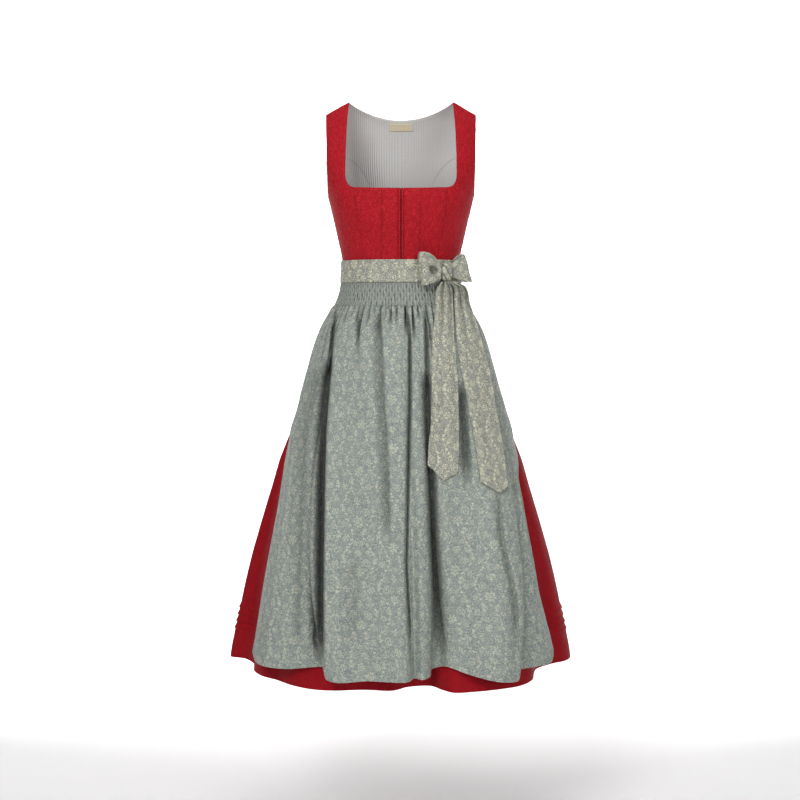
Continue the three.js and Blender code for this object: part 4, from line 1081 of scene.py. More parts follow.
# ---------------------------------------------------------------- the bodice
@dataclass
class Bodice:
    """The bodice's nine panels, its rolled front edges, the lining and the label.

    Args:
        form: the surface that the panels lie on.
        pitch: how far apart vertices lie, in millimetres.
        front_seam_x: the straight seam in each front.
        roll_offset: from the middle to a rolled edge's centre.
        roll_half_width, roll_half_depth: of a rolled edge.
        front_length, strap_length, back_length, blade_length: the panels' ways up, in millimetres.
        side_width, back_side_width, shoulder_width: their ways across.
    """

    form: BodiceForm
    pitch: float = 4.0
    front_seam_x: float = 39.0
    roll_offset: float = 2.95
    roll_half_width: float = 2.8
    roll_half_depth: float = 2.1
    front_length: float = 165.0
    strap_length: float = 190.0
    back_length: float = 200.0
    blade_length: float = 100.0
    side_width: float = 60.0
    back_side_width: float = 95.0
    shoulder_width: float = 85.0
    lining_thickness: float = 1.0
    label_thickness: float = 1.0
    red: list[Object] = field(default_factory=list)
    pale: list[Object] = field(default_factory=list)
    label: Object | None = None

    def rows(self) -> Array:
        """The shares of the rows from waist to neckline or underarm."""
        return crowded(self.front_length, self.pitch)

    def side_seam(self, t: Array) -> Array:
        """The side seam's places."""
        return stacked(math.pi / 2, self.form.along(lerp(WAIST_LEVEL, UNDERARM_LEVEL, t)))

    def upright(self, x: float, t: Array) -> Array:
        """A straight seam's places from the waist to the neckline."""
        return self.form.place(x, lerp(WAIST_LEVEL, neckline(x), t))

    def level(self, start: float, end: float, s: Array, height: Callable[[Array], Array]) -> Array:
        """A level edge's places between two distances from the middle."""
        x = lerp(start, end, s)
        return self.form.place(x, height(x))

    def front_panel(self, start: float, end: float, right: Array | None = None) -> Array:
        """The places of a front panel between two straight seams, or up to a curved one."""
        t = self.rows()
        s = crowded(max(end - start, 9.5), 3)
        waist_end = end if right is None else FRONT_PRINCESS_SEAM.rows[0][1]
        right = self.upright(end, t) if right is None else right
        waist = self.level(start, waist_end, s, lambda x: np.full_like(x, WAIST_LEVEL))
        neck = self.level(start, end, s, neckline)
        return patch(self.upright(start, t), right, waist, neck, s, t)

    def side_front(self) -> Array:
        """The places of the side front with its strap."""
        t, up = self.rows(), crowded(self.strap_length, self.pitch)
        left = np.vstack(
            [self.form.seam(FRONT_PRINCESS_SEAM, t), self.form.seam(STRAP_EDGE, up)[1:]]
        )
        right = np.vstack(
            [self.side_seam(t), self.form.armhole(UNDERARM_LEVEL, 0, up, "front")[1:]]
        )
        s = crowded(self.side_width, self.pitch)
        rows = np.linspace(0, 1, len(left))
        low, high = straight(left[0], right[0], s), straight(left[-1], right[-1], s)
        return patch(left, right, low, high, s, rows)

    def back_seam(self, t: Array) -> Array:
        """The curved back seam's places, from the waist to the armhole."""
        places = self.form.seam(BACK_PRINCESS_SEAM, t, True)
        if t[-1] == 1:
            places[-1] = self.form.armhole(BACK_SEAM_TOP, 0, np.zeros(1), "back")[0]
        return places

    def back_side(self) -> Array:
        """The places of a back side panel."""
        t, s = self.rows(), crowded(self.back_side_width, self.pitch)
        left, right = self.side_seam(t), self.back_seam(t)
        low = straight(left[0], right[0], s)
        high = self.form.armhole(UNDERARM_LEVEL, BACK_SEAM_TOP, s, "back")
        return patch(left, right, low, high, s, t)

    def back_centre(self) -> list[Array]:
        """The places of the centre back: the trunk, and the blades with the straps above it."""
        def opposite(places: Array) -> Array:
            """The same places on the other half."""
            return [FULL_TURN, 0] + places * [-1, 1]

        turn, edge_share = 0.7, 3 / 14
        trunk_t = crowded(self.back_length, self.pitch) * turn
        beside = crowded(self.shoulder_width, self.pitch)
        seam, bend = self.back_seam(trunk_t), self.back_seam(lerp(turn, 1, beside))
        neck = crowded(2 * NECK_HALF_WIDTH, self.pitch)
        arm_rows = crowded(self.blade_length, self.pitch)
        arm = self.form.armhole(BACK_SEAM_TOP, 0, arm_rows, "back")
        neck_point = self.form.place(NECK_HALF_WIDTH, 0, True)
        x = lerp(NECK_HALF_WIDTH, -NECK_HALF_WIDTH, neck)
        dip = -BACK_NECK_DEPTH * (1 - (x / NECK_HALF_WIDTH) ** 2)
        scoop = self.form.place(np.abs(x), dip, True)
        scoop[x < 0] = opposite(scoop[x < 0])
        shoulder = straight(arm[-1], neck_point, beside)
        floor = straight(seam[-1], opposite(seam[-1]), neck)
        top = np.vstack([shoulder, scoop[1:-1], opposite(shoulder)[::-1]])
        bottom = np.vstack([bend[::-1], floor[1:-1], opposite(bend)])
        middle = edge_share + (1 - 2 * edge_share) * neck[1:-1]
        across = np.concatenate([edge_share * beside, middle, 1 - edge_share * beside[::-1]])
        blades = patch(arm, opposite(arm), bottom, top, across, arm_rows)
        trunk_rows = trunk_t / turn
        waist = straight(seam[0], opposite(seam[0]), neck)
        trunk = patch(seam, opposite(seam), waist, floor, neck, trunk_rows)
        return [trunk, blades]

    def surface(self, *places: Array, mirror: bool = False) -> Surface:
        """The surface of one or more grids of places, or of their mirror image."""
        parts = []
        for grid in places:
            if mirror:
                grid = grid[:, ::-1] * np.array([-1.0, 1.0])
            radius = 130.0
            uv = stacked(grid[..., 0] * radius, grid[..., 1]) * MM
            parts.append(Surface.from_grid(self.form.point(grid), upwards=True, uv=uv))
        return joined(parts) if len(parts) > 1 else parts[0]

    @staticmethod
    def sewn(surface: Surface, seed: int, puckers: float = 0.45) -> Surface:
        """Draws a panel's edges in towards its seams and puckers the cloth beside them.

        Args:
            surface: the panel.
            seed: fixes the puckers.
            puckers: how high they stand, in millimetres.

        Returns:
            The panel with its relief.
        """
        edge = surface.border_distance()
        z, x = surface.points[:, 2], surface.points[:, 0]
        dip = -0.9 * bell(edge, 1.7)
        near = bell(edge - 5, 5)
        folds = puckers * near * ripple(z + 0.3 * x, seed, fine=3)
        broad = 0.5 * ripple(z * 0.7 + x * 0.2, seed + 7, 4, 0.6) * smoothstep(edge, 2, 14)
        made = surface.displaced(dip + np.maximum(folds + broad, -0.4))
        # Painted shade along the seams' grooves, where the panel dips in at its edges.
        made.depth = 0.12 * bell(edge, 1.5) + 0.03 * bell(edge, 7)
        return made

    def roll(self, side: int) -> Object:
        """One of the two rolled edges down the front."""
        t = np.linspace(0, 1, 70)
        places = self.form.place(self.roll_offset, lerp(WAIST_LEVEL, neckline(0), t))
        p = self.form.point(places)
        turn = np.linspace(0, FULL_TURN, 17)[:-1]
        wobble = 1 + 0.015 * ripple(p[:, 2], 40 + side, fine=3)
        half_width = wobble * (self.roll_half_width + 0.13)  # closes the gaps beside it
        x = side * np.outer(half_width, 1 + np.cos(turn))
        depth = self.roll_half_depth * wobble
        y = p[:, 1:2] + CLOTH / 2 - np.outer(depth, np.sin(turn))
        z = np.repeat(p[:, 2:3], len(turn), axis=1)
        end = 0.015  # the share of the way that each end's rounding takes
        rounded = 1 - 0.5 * np.maximum(0, np.abs(t - 0.5) * 2 - (1 - end))[:, None] / end
        x = side * self.roll_offset + (x - side * self.roll_offset) * rounded
        grid = stacked(x, y, z)
        # Painted shade on each roll's side towards the slit between the two rolls, and a little on
        # its outer side.
        inwards = smoothstep(-np.cos(turn), 0.2, 0.8) + 0.3 * smoothstep(np.cos(turn), 0.5, 0.9)
        depth = np.repeat(inwards[None], len(t), axis=0)
        name = "front_piping_left" if side > 0 else "front_piping_right"
        return capped(name, grid, depth)

    def lining_and_label(self) -> None:
        """Makes the lining behind the back panels, and the bare label on it."""
        sunk = CLOTH + SEAM_GAP
        cuts = {
            "lining_back_centre": self.surface(*self.back_centre()),
            "lining_back_side_left": self.surface(self.back_side()),
            "lining_back_side_right": self.surface(self.back_side(), mirror=True),
        }
        for name, surface in cuts.items():
            # Painted shade: the lining gets darker towards its bottom, deep inside the bodice.
            surface.depth = 0.42 * smoothstep(-surface.points[:, 2], 100, 185)
            self.pale.append(shell(name, surface, self.lining_thickness, sunk, EDGE_INSET))
        x, z = np.meshgrid(np.linspace(-25, 25, 26), np.linspace(-36, -51, 9))
        laid = Surface.from_grid(self.form.point(self.form.place(x, z, True)), upwards=True)
        laid = Surface(laid.points, laid.faces, np.stack([x.ravel(), z.ravel()], axis=1) * MM)
        inside = sunk + self.lining_thickness + SEAM_GAP
        self.label = shell("neck_label", laid, self.label_thickness, inside)

    def build(self) -> list[Object]:
        """Makes every piece of the bodice."""
        t = self.rows()
        low = FRONT_PRINCESS_SEAM.rows[-1][1]
        closure = self.roll_offset + self.roll_half_width + SEAM_GAP / 2
        princess = self.form.seam(FRONT_PRINCESS_SEAM, t)
        cuts = {
            "front_inner": [self.front_panel(closure, self.front_seam_x)],
            "front_middle": [self.front_panel(self.front_seam_x, low, princess)],
            "front_side_with_strap": [self.side_front()],
            "back_side": [self.back_side()],
        }
        for seed, (name, places) in enumerate(cuts.items()):
            for side, mirror in (("left", False), ("right", True)):
                surface = self.surface(*places, mirror=mirror)
                panel = self.sewn(surface, 10 * seed + 5 * mirror)
                self.red.append(shell(f"{name}_{side}", panel, CLOTH, 0, EDGE_INSET))
        back = self.sewn(self.surface(*self.back_centre()), 77)
        self.red.append(shell("back_centre_with_straps", back, CLOTH, 0, EDGE_INSET))
        self.red += [self.roll(1), self.roll(-1)]
        self.lining_and_label()
        return [*self.red, *self.pale, self.label]

    def line(self, places: Array, lift: float) -> Array:
        """A line of points over the surface at some places, lifted off it."""
        h = 1e-3
        step_a, step_b = np.array([h, 0]), np.array([0, h])
        across = self.form.point(places + step_a) - self.form.point(places - step_a)
        up = self.form.point(places + step_b) - self.form.point(places - step_b)
        return self.form.point(places) + unit(np.cross(across, up)) * lift

    def stitches(self, red: Stitching, pale: Stitching) -> None:
        """Lays the rows of topstitching, and the dotted seams of the lining."""
        below, beside, lift = 5.0, 4.5, 0.2
        x = np.linspace(-90, 90, 90)
        red.add(self.line(self.form.place(x, neckline(x) - below), lift))
        shares = np.linspace(0, 1, 60)
        for side in (-1, 1):
            mirror = np.array([side, 1])
            height = np.linspace(-172, -6, 60)
            edge = np.interp(height, *zip(*STRAP_EDGE.rows))
            red.add(self.line(self.form.place(side * (edge + beside), height), lift))
            for offset in (8.3, self.front_seam_x + 2.4):
                z = np.linspace(WAIST_LEVEL + 30, NECKLINE_LEVEL - below, 60)
                red.add(self.line(self.form.place(np.full(60, side * offset), z), lift))
            for where, inwards in (("front", -beside / 150), ("back", beside / 150)):
                places = self.form.armhole(UNDERARM_LEVEL + 14, -4, shares, where)
                places[:, 0] += inwards
                red.add(self.line(places * mirror, lift))
            seam = self.back_seam(np.linspace(0.1, 0.98, 70))
            seam[:, 0] = seam[:, 0] + 0.012
            inside = -(CLOTH + SEAM_GAP + self.lining_thickness) - 0.1
            pale.add(self.line(seam * mirror, inside))

    def dress(self, red: Material, pale: Material, label: Material) -> None:
        """Gives every piece its cloth and ties it to the frame."""
        dress(self.red, red)
        dress(self.pale, pale)
        dress([self.label], label)


# ---------------------------------------------------------------- the skirt
@dataclass
class Skirt:
    """The skirt's two widths with their folds, gathers and tucks.

    Args:
        form: the surface that the cloth lies on.
        tucks: how many there are.
        pitch: from one tuck's edge to the next.
        first: from the hem to the lowest tuck's edge.
        proud: how far a tuck's edge stands out.
        columns: how many there are to a row of the fold table.
        row_width: about how far apart two rows of the fold table are, in millimetres.
    """

    form: SkirtForm
    tucks: int = 4
    pitch: float = 14.7
    first: float = 62.0
    proud: float = 2.8
    columns: int = 9
    row_width: float = 30.0
    front: Surface | None = None
    made: list[Object] = field(default_factory=list)

    def levels(self) -> tuple[Array, Array]:
        """The rows' heights and how far a tuck lifts each of them."""
        profile = ((11, 0), (7, 0.8), (4, 1.8), (1.6, 2.6), (0.4, 2.8), (-0.2, 2.5), (-0.6, 1.2),
                   (-1.0, 0.2), (-2.0, 0))
        lowest = HEM_LEVEL + self.first
        rows = [
            (lowest + i * self.pitch + above, lift * self.proud / 2.8)
            for i in range(self.tucks)
            for above, lift in profile
        ]
        plain = (
            np.arange(WAIST_LEVEL - SEAM_GAP, -430, -4.0),
            np.arange(-430, -560, -8.0),
            np.linspace(-560, lowest + (self.tucks - 1) * self.pitch + 14, 40),
            np.linspace(lowest - 5, HEM_LEVEL + 2, 9),
            [HEM_LEVEL + 1, HEM_LEVEL],
        )
        rows += [(height, 0.0) for height in np.concatenate(plain)]
        heights, lifts = zip(*sorted(rows, reverse=True))
        return np.array(heights), np.array(lifts)

    def relief(self, at: Array, height: Array) -> Array:
        """How far gathers and soft unevenness lift the cloth."""
        turn = (self.form.folds.at(at + self.form.pad)["turn"] + math.pi) % FULL_TURN - math.pi
        behind = smoothstep(np.abs(turn), math.radians(APRON_SIDE), math.radians(APRON_SIDE) + 0.2)
        run = smoothstep(-height, 378.5, 398.5) * (1 - smoothstep(-height, 398.5, 520))
        uneven = 0.8 + 0.2 * ripple(at * 20, 3)
        gathers = 2.4 * (0.5 - 0.5 * np.cos(FULL_TURN * at)) + 0.7 * np.sin(FULL_TURN * 3 * at)
        low = smoothstep(-height, 500, 900)
        soft = 0.8 * ripple(at * 22 + height * 0.05, 5) * low
        facing = -0.6 * bell(height - HEM_LEVEL - 46, 1.5)
        hollow = self.form.hollow(height, turn)
        return gathers * uneven * behind * run + soft * behind + facing - hollow

    def build(self) -> list[Object]:
        """Makes both widths."""
        heights, lifts = self.levels()
        for name, start, end in (
            ("skirt_front", 0, RIGHTMOST_FOLD),
            ("skirt_back", RIGHTMOST_FOLD, len(SKIRT_FOLDS)),
        ):
            span = end - start
            shares = crowded(span * self.row_width, self.row_width / self.columns)
            at = start + shares * span
            where, height = np.meshgrid(at, heights)
            lift = lifts[:, None] + self.relief(where, height)
            surface = Surface.from_grid(self.form.point(where, height, lift))
            if name == "skirt_front":
                self.front = surface
            self.made.append(shell(name, surface, CLOTH, 0, EDGE_INSET))
        return self.made

    def dress(self, cloth: Material) -> None:
        """Gives both widths their cloth and ties them to the frame."""
        dress(self.made, cloth)


# ---------------------------------------------------------------- the apron
@dataclass
class Apron:
    """The apron's cloth with its folds, and its smocked head.

    Args:
        form: the surface that the cloth lies on.
        columns, row_width: as the skirt's.
        ribs: the smocked head's upright ribs.
        honeycomb: from one row of the smocking's stitches to the next.
        puff: how far the cloth stands out under the smocking.
        notch_widths: of a gather, at its top and at its end, in degrees.
        hem_corner: how far the hem rounds up at the apron's sides.
        view_distance, view_height: of the eye that the creases' lines are seen from.
    """

    form: ApronForm
    columns: int = 17
    row_width: float = 25.0
    ribs: int = 76
    honeycomb: float = 8.6
    puff: float = 3.4
    notch_widths: tuple[float, float] = (0.5, 1.25)
    hem_corner: float = 14.0
    view_distance: float = 3300.0
    view_height: float = -454.0
    panel: Surface | None = None
    head: Surface | None = None
    made: list[Object] = field(default_factory=list)

    def gathers(self, degrees: Array, height: float) -> tuple[Array, Array]:
        """How the cloth bulges under the smocking, and how it sinks in at each notch.

        Args:
            degrees: angles round the waist.
            height: of the row, in millimetres.

        Returns:
            How far the cloth is lifted, in millimetres, and a depth that sets the painted shade in
            the notches and in the gaps between the ribs' ends.
        """
        below, head = -height, -HEADER_BOTTOM
        notched = np.zeros_like(degrees)
        for place, depth, length in APRON_NOTCHES:
            wide = lerp(*self.notch_widths, smoothstep(below, head, head + length))
            run = 1 - smoothstep(below, head + 0.2 * length, head + 1.2 * length)
            notched += depth * run * bell(degrees - place, wide)
        ribs = FULL_TURN * (degrees + APRON_SIDE) / (2 * APRON_SIDE) * self.ribs / 2
        ribs = 0.5 - 0.5 * np.cos(ribs)
        start = smoothstep(below, head - 1, head + 5)
        under = 1 - smoothstep(below, head, head + 14)
        lift = RIB_HEIGHT / 2 + self.puff * (1 - smoothstep(below, 434, 580)) - 2.4 * notched
        short = 1 - smoothstep(below, head + 2 + 4 * ripple(degrees * 9, 31), 436)
        # Painted shade in the gaps between the ribs' ends, just below the head.
        gap_shade = 2.0 * (1 - ribs) ** 4 * short
        lift = lerp(RIB_HEIGHT * ribs, lift, start) + 0.8 * ribs * under
        return lift, np.maximum(notched, gap_shade)

    def creases(self, points: Array) -> Array:
        """How far the creases are pressed straight back into the cloth."""
        near = self.view_distance / (self.view_distance + points[..., 1])
        x = points[..., 0] * near
        z = self.view_height + (points[..., 2] - self.view_height) * near
        pressed = np.zeros(x.shape)
        for crease in APRON_CREASES:
            line = np.array(crease.line)[::-1]
            middle = np.interp(z, line[:, 1], line[:, 0])
            low, high = line[0, 1], line[-1, 1]
            ends = between(z, low - 25, low + 60, high - 40, high + 8)
            wide = np.where(x < middle, crease.left, crease.right)
            pressed += crease.depth * bell(x - middle, wide) * ends * (points[..., 1] < 0)
        return pressed

    def build_panel(self) -> None:
        """Makes the apron's cloth below its head."""
        heights = np.concatenate([
            np.arange(HEADER_BOTTOM - SEAM_GAP, -470, -3.0),
            np.arange(-470, -560, -7.0),
            np.linspace(-560, HEM_LEVEL + 16, 50),
            HEM_LEVEL + np.array([12, 9, 6, 3, 1, 0]),
        ])
        span = self.form.span
        at = crowded(span * self.row_width, self.row_width / self.columns) * span
        degrees = self.form.waist_degrees(at)
        plain = np.stack([self.form.point(at, float(h)) for h in heights])
        edge = np.minimum(at, span - at) * 20  # about millimetres
        corner = self.hem_corner * np.clip(1 - edge / 20, 0, 1) ** 2
        rows, depths = [], []
        for height, pressed in zip(heights, self.creases(plain)):
            above = height - HEM_LEVEL
            gathered, notched = self.gathers(degrees, height)
            # Painted shade deep in the pressed creases, in the gathers' notches and in the gaps
            # between the ribs' ends.
            depths.append(np.clip(np.maximum(pressed / 30, notched / 3.4), 0, 1))
            hems = -0.5 * bell(edge - 9, 1.3) - 0.5 * bell(above - 14, 1.6)
            soft = 0.7 * ripple(at * 24 + above * 0.04, 11) * smoothstep(above, 760, 500)
            row = self.form.point(at, float(height), gathered + hems + soft, pressed)
            row[:, 2] += corner * smoothstep(-above, -45, 0)
            rows.append(row)
        self.panel = Surface.from_grid(np.stack(rows), depth=np.stack(depths))
        self.made.append(shell("apron_panel", self.panel, APRON_CLOTH))

    def build_head(self) -> None:
        """Makes the smocked head, whose ribs are drawn together by turns."""
        across = np.linspace(0, 1, self.ribs * 8 + 1)
        rib = across * self.ribs
        fine = np.linspace(0, self.form.span, 4000)
        degrees = self.form.waist_degrees(fine)
        places = np.interp(lerp(degrees[0], degrees[-1], across), degrees, fine)
        heights = np.concatenate([[HEADER_TOP, -371, -375], np.linspace(-377.5, HEADER_BOTTOM, 23)])
        rows, depths = [], []
        for height in heights:
            drawn = 0.22 * np.sin(math.pi * rib) * math.cos(
                math.pi * (height - SASH_BOTTOM) / self.honeycomb
            )
            drawn = drawn + 0.3 * ripple(rib * 0.8 + height * 0.02, 23)
            uneven = np.clip(0.66 + 0.34 * ripple(rib * 27 + height * 1.3, 21), 0.15, 1)
            wave = np.abs(np.sin(math.pi * (rib + drawn))) ** 0.6
            free = smoothstep(-height, 377, 381)
            lift = RIB_HEIGHT * wave * uneven * free
            # Painted shade in the valleys between the smocked ribs.
            depths.append((1 - wave) ** 0.6 * (1.5 - uneven) * free)
            rows.append(self.form.point(places, float(height), lift))
        self.head = Surface.from_grid(np.stack(rows), depth=np.stack(depths))
        self.made.append(shell("apron_smocked_head", self.head, 1.1))

    def build(self) -> list[Object]:
        """Makes both pieces."""
        self.build_panel()
        self.build_head()
        return self.made

    def stitches(self, thread: Stitching) -> None:
        """Lays the stitches across the smocking's ribs."""
        at = np.linspace(0, self.form.span, self.ribs * 2 + 1)
        for row in range(5):
            height = SASH_BOTTOM - 6 - row * self.honeycomb
            thread.add(self.form.point(at, height, 1.0))

    def dress(self, cloth: Material, head: Material) -> None:
        """Gives both pieces their cloth and ties them to the frame."""
        dress(self.made[:1], cloth)
        dress(self.made[1:], head)


# ---------------------------------------------------------------- the sash and its bow
@dataclass(frozen=True)
class Loop:
    """One loop of the bow.

    Args:
        name: the piece's name.
        near, far: the ribbon's upper and lower edge at the knot and at its far end.
        facing: the way that its front ply looks.
        front, back, dent: how far the plies bulge, and how far the front one is dented.
        bulge: how far its upper edge arches up and its lower edge arches down.
    """

    name: str
    near: tuple[tuple[float, float, float], tuple[float, float, float]]
    far: tuple[tuple[float, float, float], tuple[float, float, float]]
    facing: tuple[float, float, float]
    front: float
    back: float
    dent: float
    bulge: tuple[float, float]


@dataclass(frozen=True)
class Tail:
    """One hanging end of the sash.

    Args:
        name: the piece's name.
        edges: its left and right edge at each height.
        depth: how far forward it leaves the knot.
        ends: the heights of its cut end's left corner, tip and right corner.
        tip: the tip's share of the way across.
    """

    name: str
    edges: Table
    depth: float
    ends: tuple[float, float, float]
    tip: float


class Resting:
    """How far forward cloth can lie over the apron: on the foremost folds within reach."""

    step_x, step_z = 2.0, 4.0

    def __init__(self, under: Sequence[Surface]) -> None:
        """Looks along +Y at what lies under the tails, over a grid of places."""
        reach, steepest = 48, 0.7
        self.x = np.arange(0.0, 270.0, self.step_x)
        self.z = np.arange(-805.0, -370.0, self.step_z)
        trees = [BVHTree.FromPolygons(s.points.tolist(), s.faces.tolist()) for s in under]
        seen = np.full((len(self.z), len(self.x)), 0.0)
        for i, z in enumerate(self.z):
            for j, x in enumerate(self.x):
                hits = (t.ray_cast(Vector((x, -1000, z)), Vector((0, 1, 0)))[0] for t in trees)
                depths = [hit.y for hit in hits if hit is not None]
                seen[i, j] = min(depths) if depths else 0
        foremost = np.full_like(seen, np.inf)
        for shift in range(-reach // 2, reach // 2 + 1):
            moved = np.roll(seen, shift, axis=1)
            foremost = np.minimum(foremost, moved + steepest * self.step_x * abs(shift))
        blur = 5
        kernel = np.hanning(2 * blur + 1) / np.hanning(2 * blur + 1).sum()
        padded = np.pad(foremost, ((blur, blur), (0, 0)), mode="edge")
        soft = np.stack([np.convolve(c, kernel, "valid") for c in padded.T], axis=1)
        self.depth = np.minimum(foremost, soft)

    def at(self, x: Array, z: Reals) -> Array:
        """The depths at places in front of the apron."""
        i = np.clip((np.asarray(z) - self.z[0]) / self.step_z, 0, len(self.z) - 1.001)
        j = np.clip((x - self.x[0]) / self.step_x, 0, len(self.x) - 1.001)
        i0, j0 = np.floor(i).astype(int), np.floor(j).astype(int)
        a = lerp(self.depth[i0, j0], self.depth[i0, j0 + 1], j - j0)
        b = lerp(self.depth[i0 + 1, j0], self.depth[i0 + 1, j0 + 1], j - j0)
        return lerp(a, b, i - i0)


@dataclass
class Sash:
    """The sash's band, and the bow with its knot, loops and hanging ends.

    Args:
        knot_turn: the knot's place, in degrees from the front.
        knot_size: half its width, depth and height.
        knot_level: its height.
        knot_stand_off: how far it stands off the band.
        clearance: how far the ends hang in front of the apron's foremost folds.
    """

    knot_turn: float = 42.7
    knot_size: tuple[float, float, float] = (14.0, 12.0, 20.5)
    knot_level: float = -355.0
    knot_stand_off: float = 0.6
    clearance: float = 3.4
    loops: tuple[Loop, ...] = (
        Loop(
            "bow_loop_right",
            ((82.3, -90.6, -343), (81, -91, -370)),
            ((33, -107, -316.5), (41, -108, -384)),
            (0.3, -0.95, 0),
            12, 4, 11, (8.8, 2.0),
        ),
        Loop(
            "bow_loop_left",
            ((103.6, -75, -339), (105.4, -73.8, -366)),
            ((129, -55, -318), (145, -46, -375)),
            (0.58, -0.82, 0),
            9, 4, 1.5, (4.6, 4.0),
        ),
    )
    tails: tuple[Tail, ...] = (
        Tail("sash_end_right", RIGHT_TAIL, -81, (-739, -768, -753), 0.52),
        Tail("sash_end_left", LEFT_TAIL, -79, (-771, -796, -782), 0.72),
    )
    made: list[Object] = field(default_factory=list)

    def band(self) -> None:
        """Makes the band round the waist, with soft level wrinkles."""
        turns = np.linspace(0, FULL_TURN, 361)[:-1]
        heights = np.linspace(SASH_TOP, SASH_BOTTOM, 24)
        turn, height = np.meshgrid(turns, heights)
        down = (SASH_TOP - height) / (SASH_TOP - SASH_BOTTOM)
        inside = np.sin(math.pi * np.clip(down, 0, 1)) ** 0.5
        slow = np.sin(turn * 2 + 0.6) * 4 + np.sin(turn * 5 + 2) * 1.5
        lines = np.maximum(0, np.sin((height + slow) / RIBBON_WIDTH * FULL_TURN * 1.6)) ** 2
        fine = 0.25 * (1 + np.sin((height - slow) / RIBBON_WIDTH * FULL_TURN * 4 + turn * 9)) / 2
        lift = SASH_CLOTH + (1.0 * lines * (0.6 + 0.4 * np.sin(turn * 3)) + fine) * inside
        surface = Surface.from_grid(sash_point(turn, height, lift), closed=True)
        self.made.append(shell("sash_band", surface, SASH_CLOTH))

    def knot(self) -> None:
        """Makes the knot: a barrel of ribbon with slanting wraps round it."""
        turn = np.array([math.radians(self.knot_turn)])
        level = np.array([self.knot_level])
        seat = sash_point(turn, level, SASH_CLOTH)[0]
        beside = sash_point(turn + 1e-3, level, SASH_CLOTH)[0] - seat
        up = np.array([0.0, 0, 1])
        facing = unit(np.cross(beside, up))
        across = np.cross(up, facing)
        half_width, half_depth, half_height = self.knot_size
        centre = seat + facing * (half_depth + self.knot_stand_off)
        polar, around = np.meshgrid(
            np.linspace(0.03, math.pi - 0.03, 40), np.linspace(0, FULL_TURN, 73)[:-1], indexing="ij"
        )
        ring = np.sin(polar)
        x, y, z = -ring * np.cos(around), np.cos(polar), ring * np.sin(around)
        slant = 1.16 * (x + y) + 0.3
        wraps = np.cos(3 * slant) ** 6
        groove = 1 - 0.13 * wraps - 0.03 * np.cos(9 * slant + 1) ** 2

        def squared(a: Array) -> Array:
            """Rounds less and squares more."""
            return np.sign(a) * np.abs(a) ** 0.8

        grid = (
            centre
            + across * (squared(x) * half_width * groove)[..., None]
            + up * (squared(y) * half_height)[..., None]
            + facing * (squared(z) * half_depth * np.where(z > 0, groove, 1))[..., None]
        )
        # Painted shade in the grooves of the slanting wraps.
        self.made.append(capped("bow_knot", grid, 0.7 * wraps))

    def loop(self, loop: Loop) -> None:
        """Makes one loop: out from the knot on its front ply and back on its back ply."""
        c, down = np.meshgrid(np.linspace(0, 1, 109), crowded(60, 1.4))
        rightwards = loop.far[0][0] > loop.near[0][0]
        share = c if rightwards else 1 - c
        out = np.sin(math.pi * share) ** 0.75
        out = out * (1 - 0.07 * bell(down, 0.07))
        corners = [np.array(v, float) for v in (*loop.near, *loop.far)]
        start = lerp(corners[0], corners[1], down[..., None])
        end = lerp(corners[2], corners[3], down[..., None])
        wave = np.sin(FULL_TURN * share)
        dent_down, dent_out, dent_width = 0.48, 0.36, 0.24  # shares of the front ply
        dent_height = np.where(down < dent_down, 0.13, 0.2)
        lens = ((down - dent_down) / dent_height) ** 2 + ((out - dent_out) / dent_width) ** 2
        dent = loop.dent * np.exp(-lens) * (share < 0.5)
        rim = 1.3 * bell(down - 0.13, 0.035) * out * (share < 0.5)
        lift = wave * np.where(share < 0.5, loop.front, loop.back) - dent - rim
        fan = np.sin(FULL_TURN * (2.6 * down + 0.15)) * np.exp(-2.4 * out)
        fan = fan * smoothstep(out, 0.1, 0.4)
        soft = 0.7 * np.sin(FULL_TURN * (1.3 * down + out)) * out
        hem = -0.5 * bell(np.minimum(down, 1 - down) - 0.07, 0.02)
        side = np.where(share < 0.5, 1, -1)
        lift = lift + 3.2 * np.cos(math.pi * share) + side * (1.6 * fan + soft + hem)
        facing = unit(np.array(loop.facing))
        grid = start + (end - start) * out[..., None] + facing * lift[..., None]
        arch = loop.bulge[0] * (1 - down) ** 2 - loop.bulge[1] * down**2
        grid[..., 2] += np.sin(math.pi * out) * arch
        # Painted shade in the front ply's dent and in the crease under its rim.
        dent_shade = (1 - smoothstep(lens, 0.8, 1.25)) * min(1, loop.dent / 11) * (share < 0.5)
        depth = np.clip(0.75 * dent_shade + 0.35 * rim / 1.3, 0, 1)
        self.made.append(shell(loop.name, Surface.from_grid(grid, depth=depth), SASH_CLOTH))

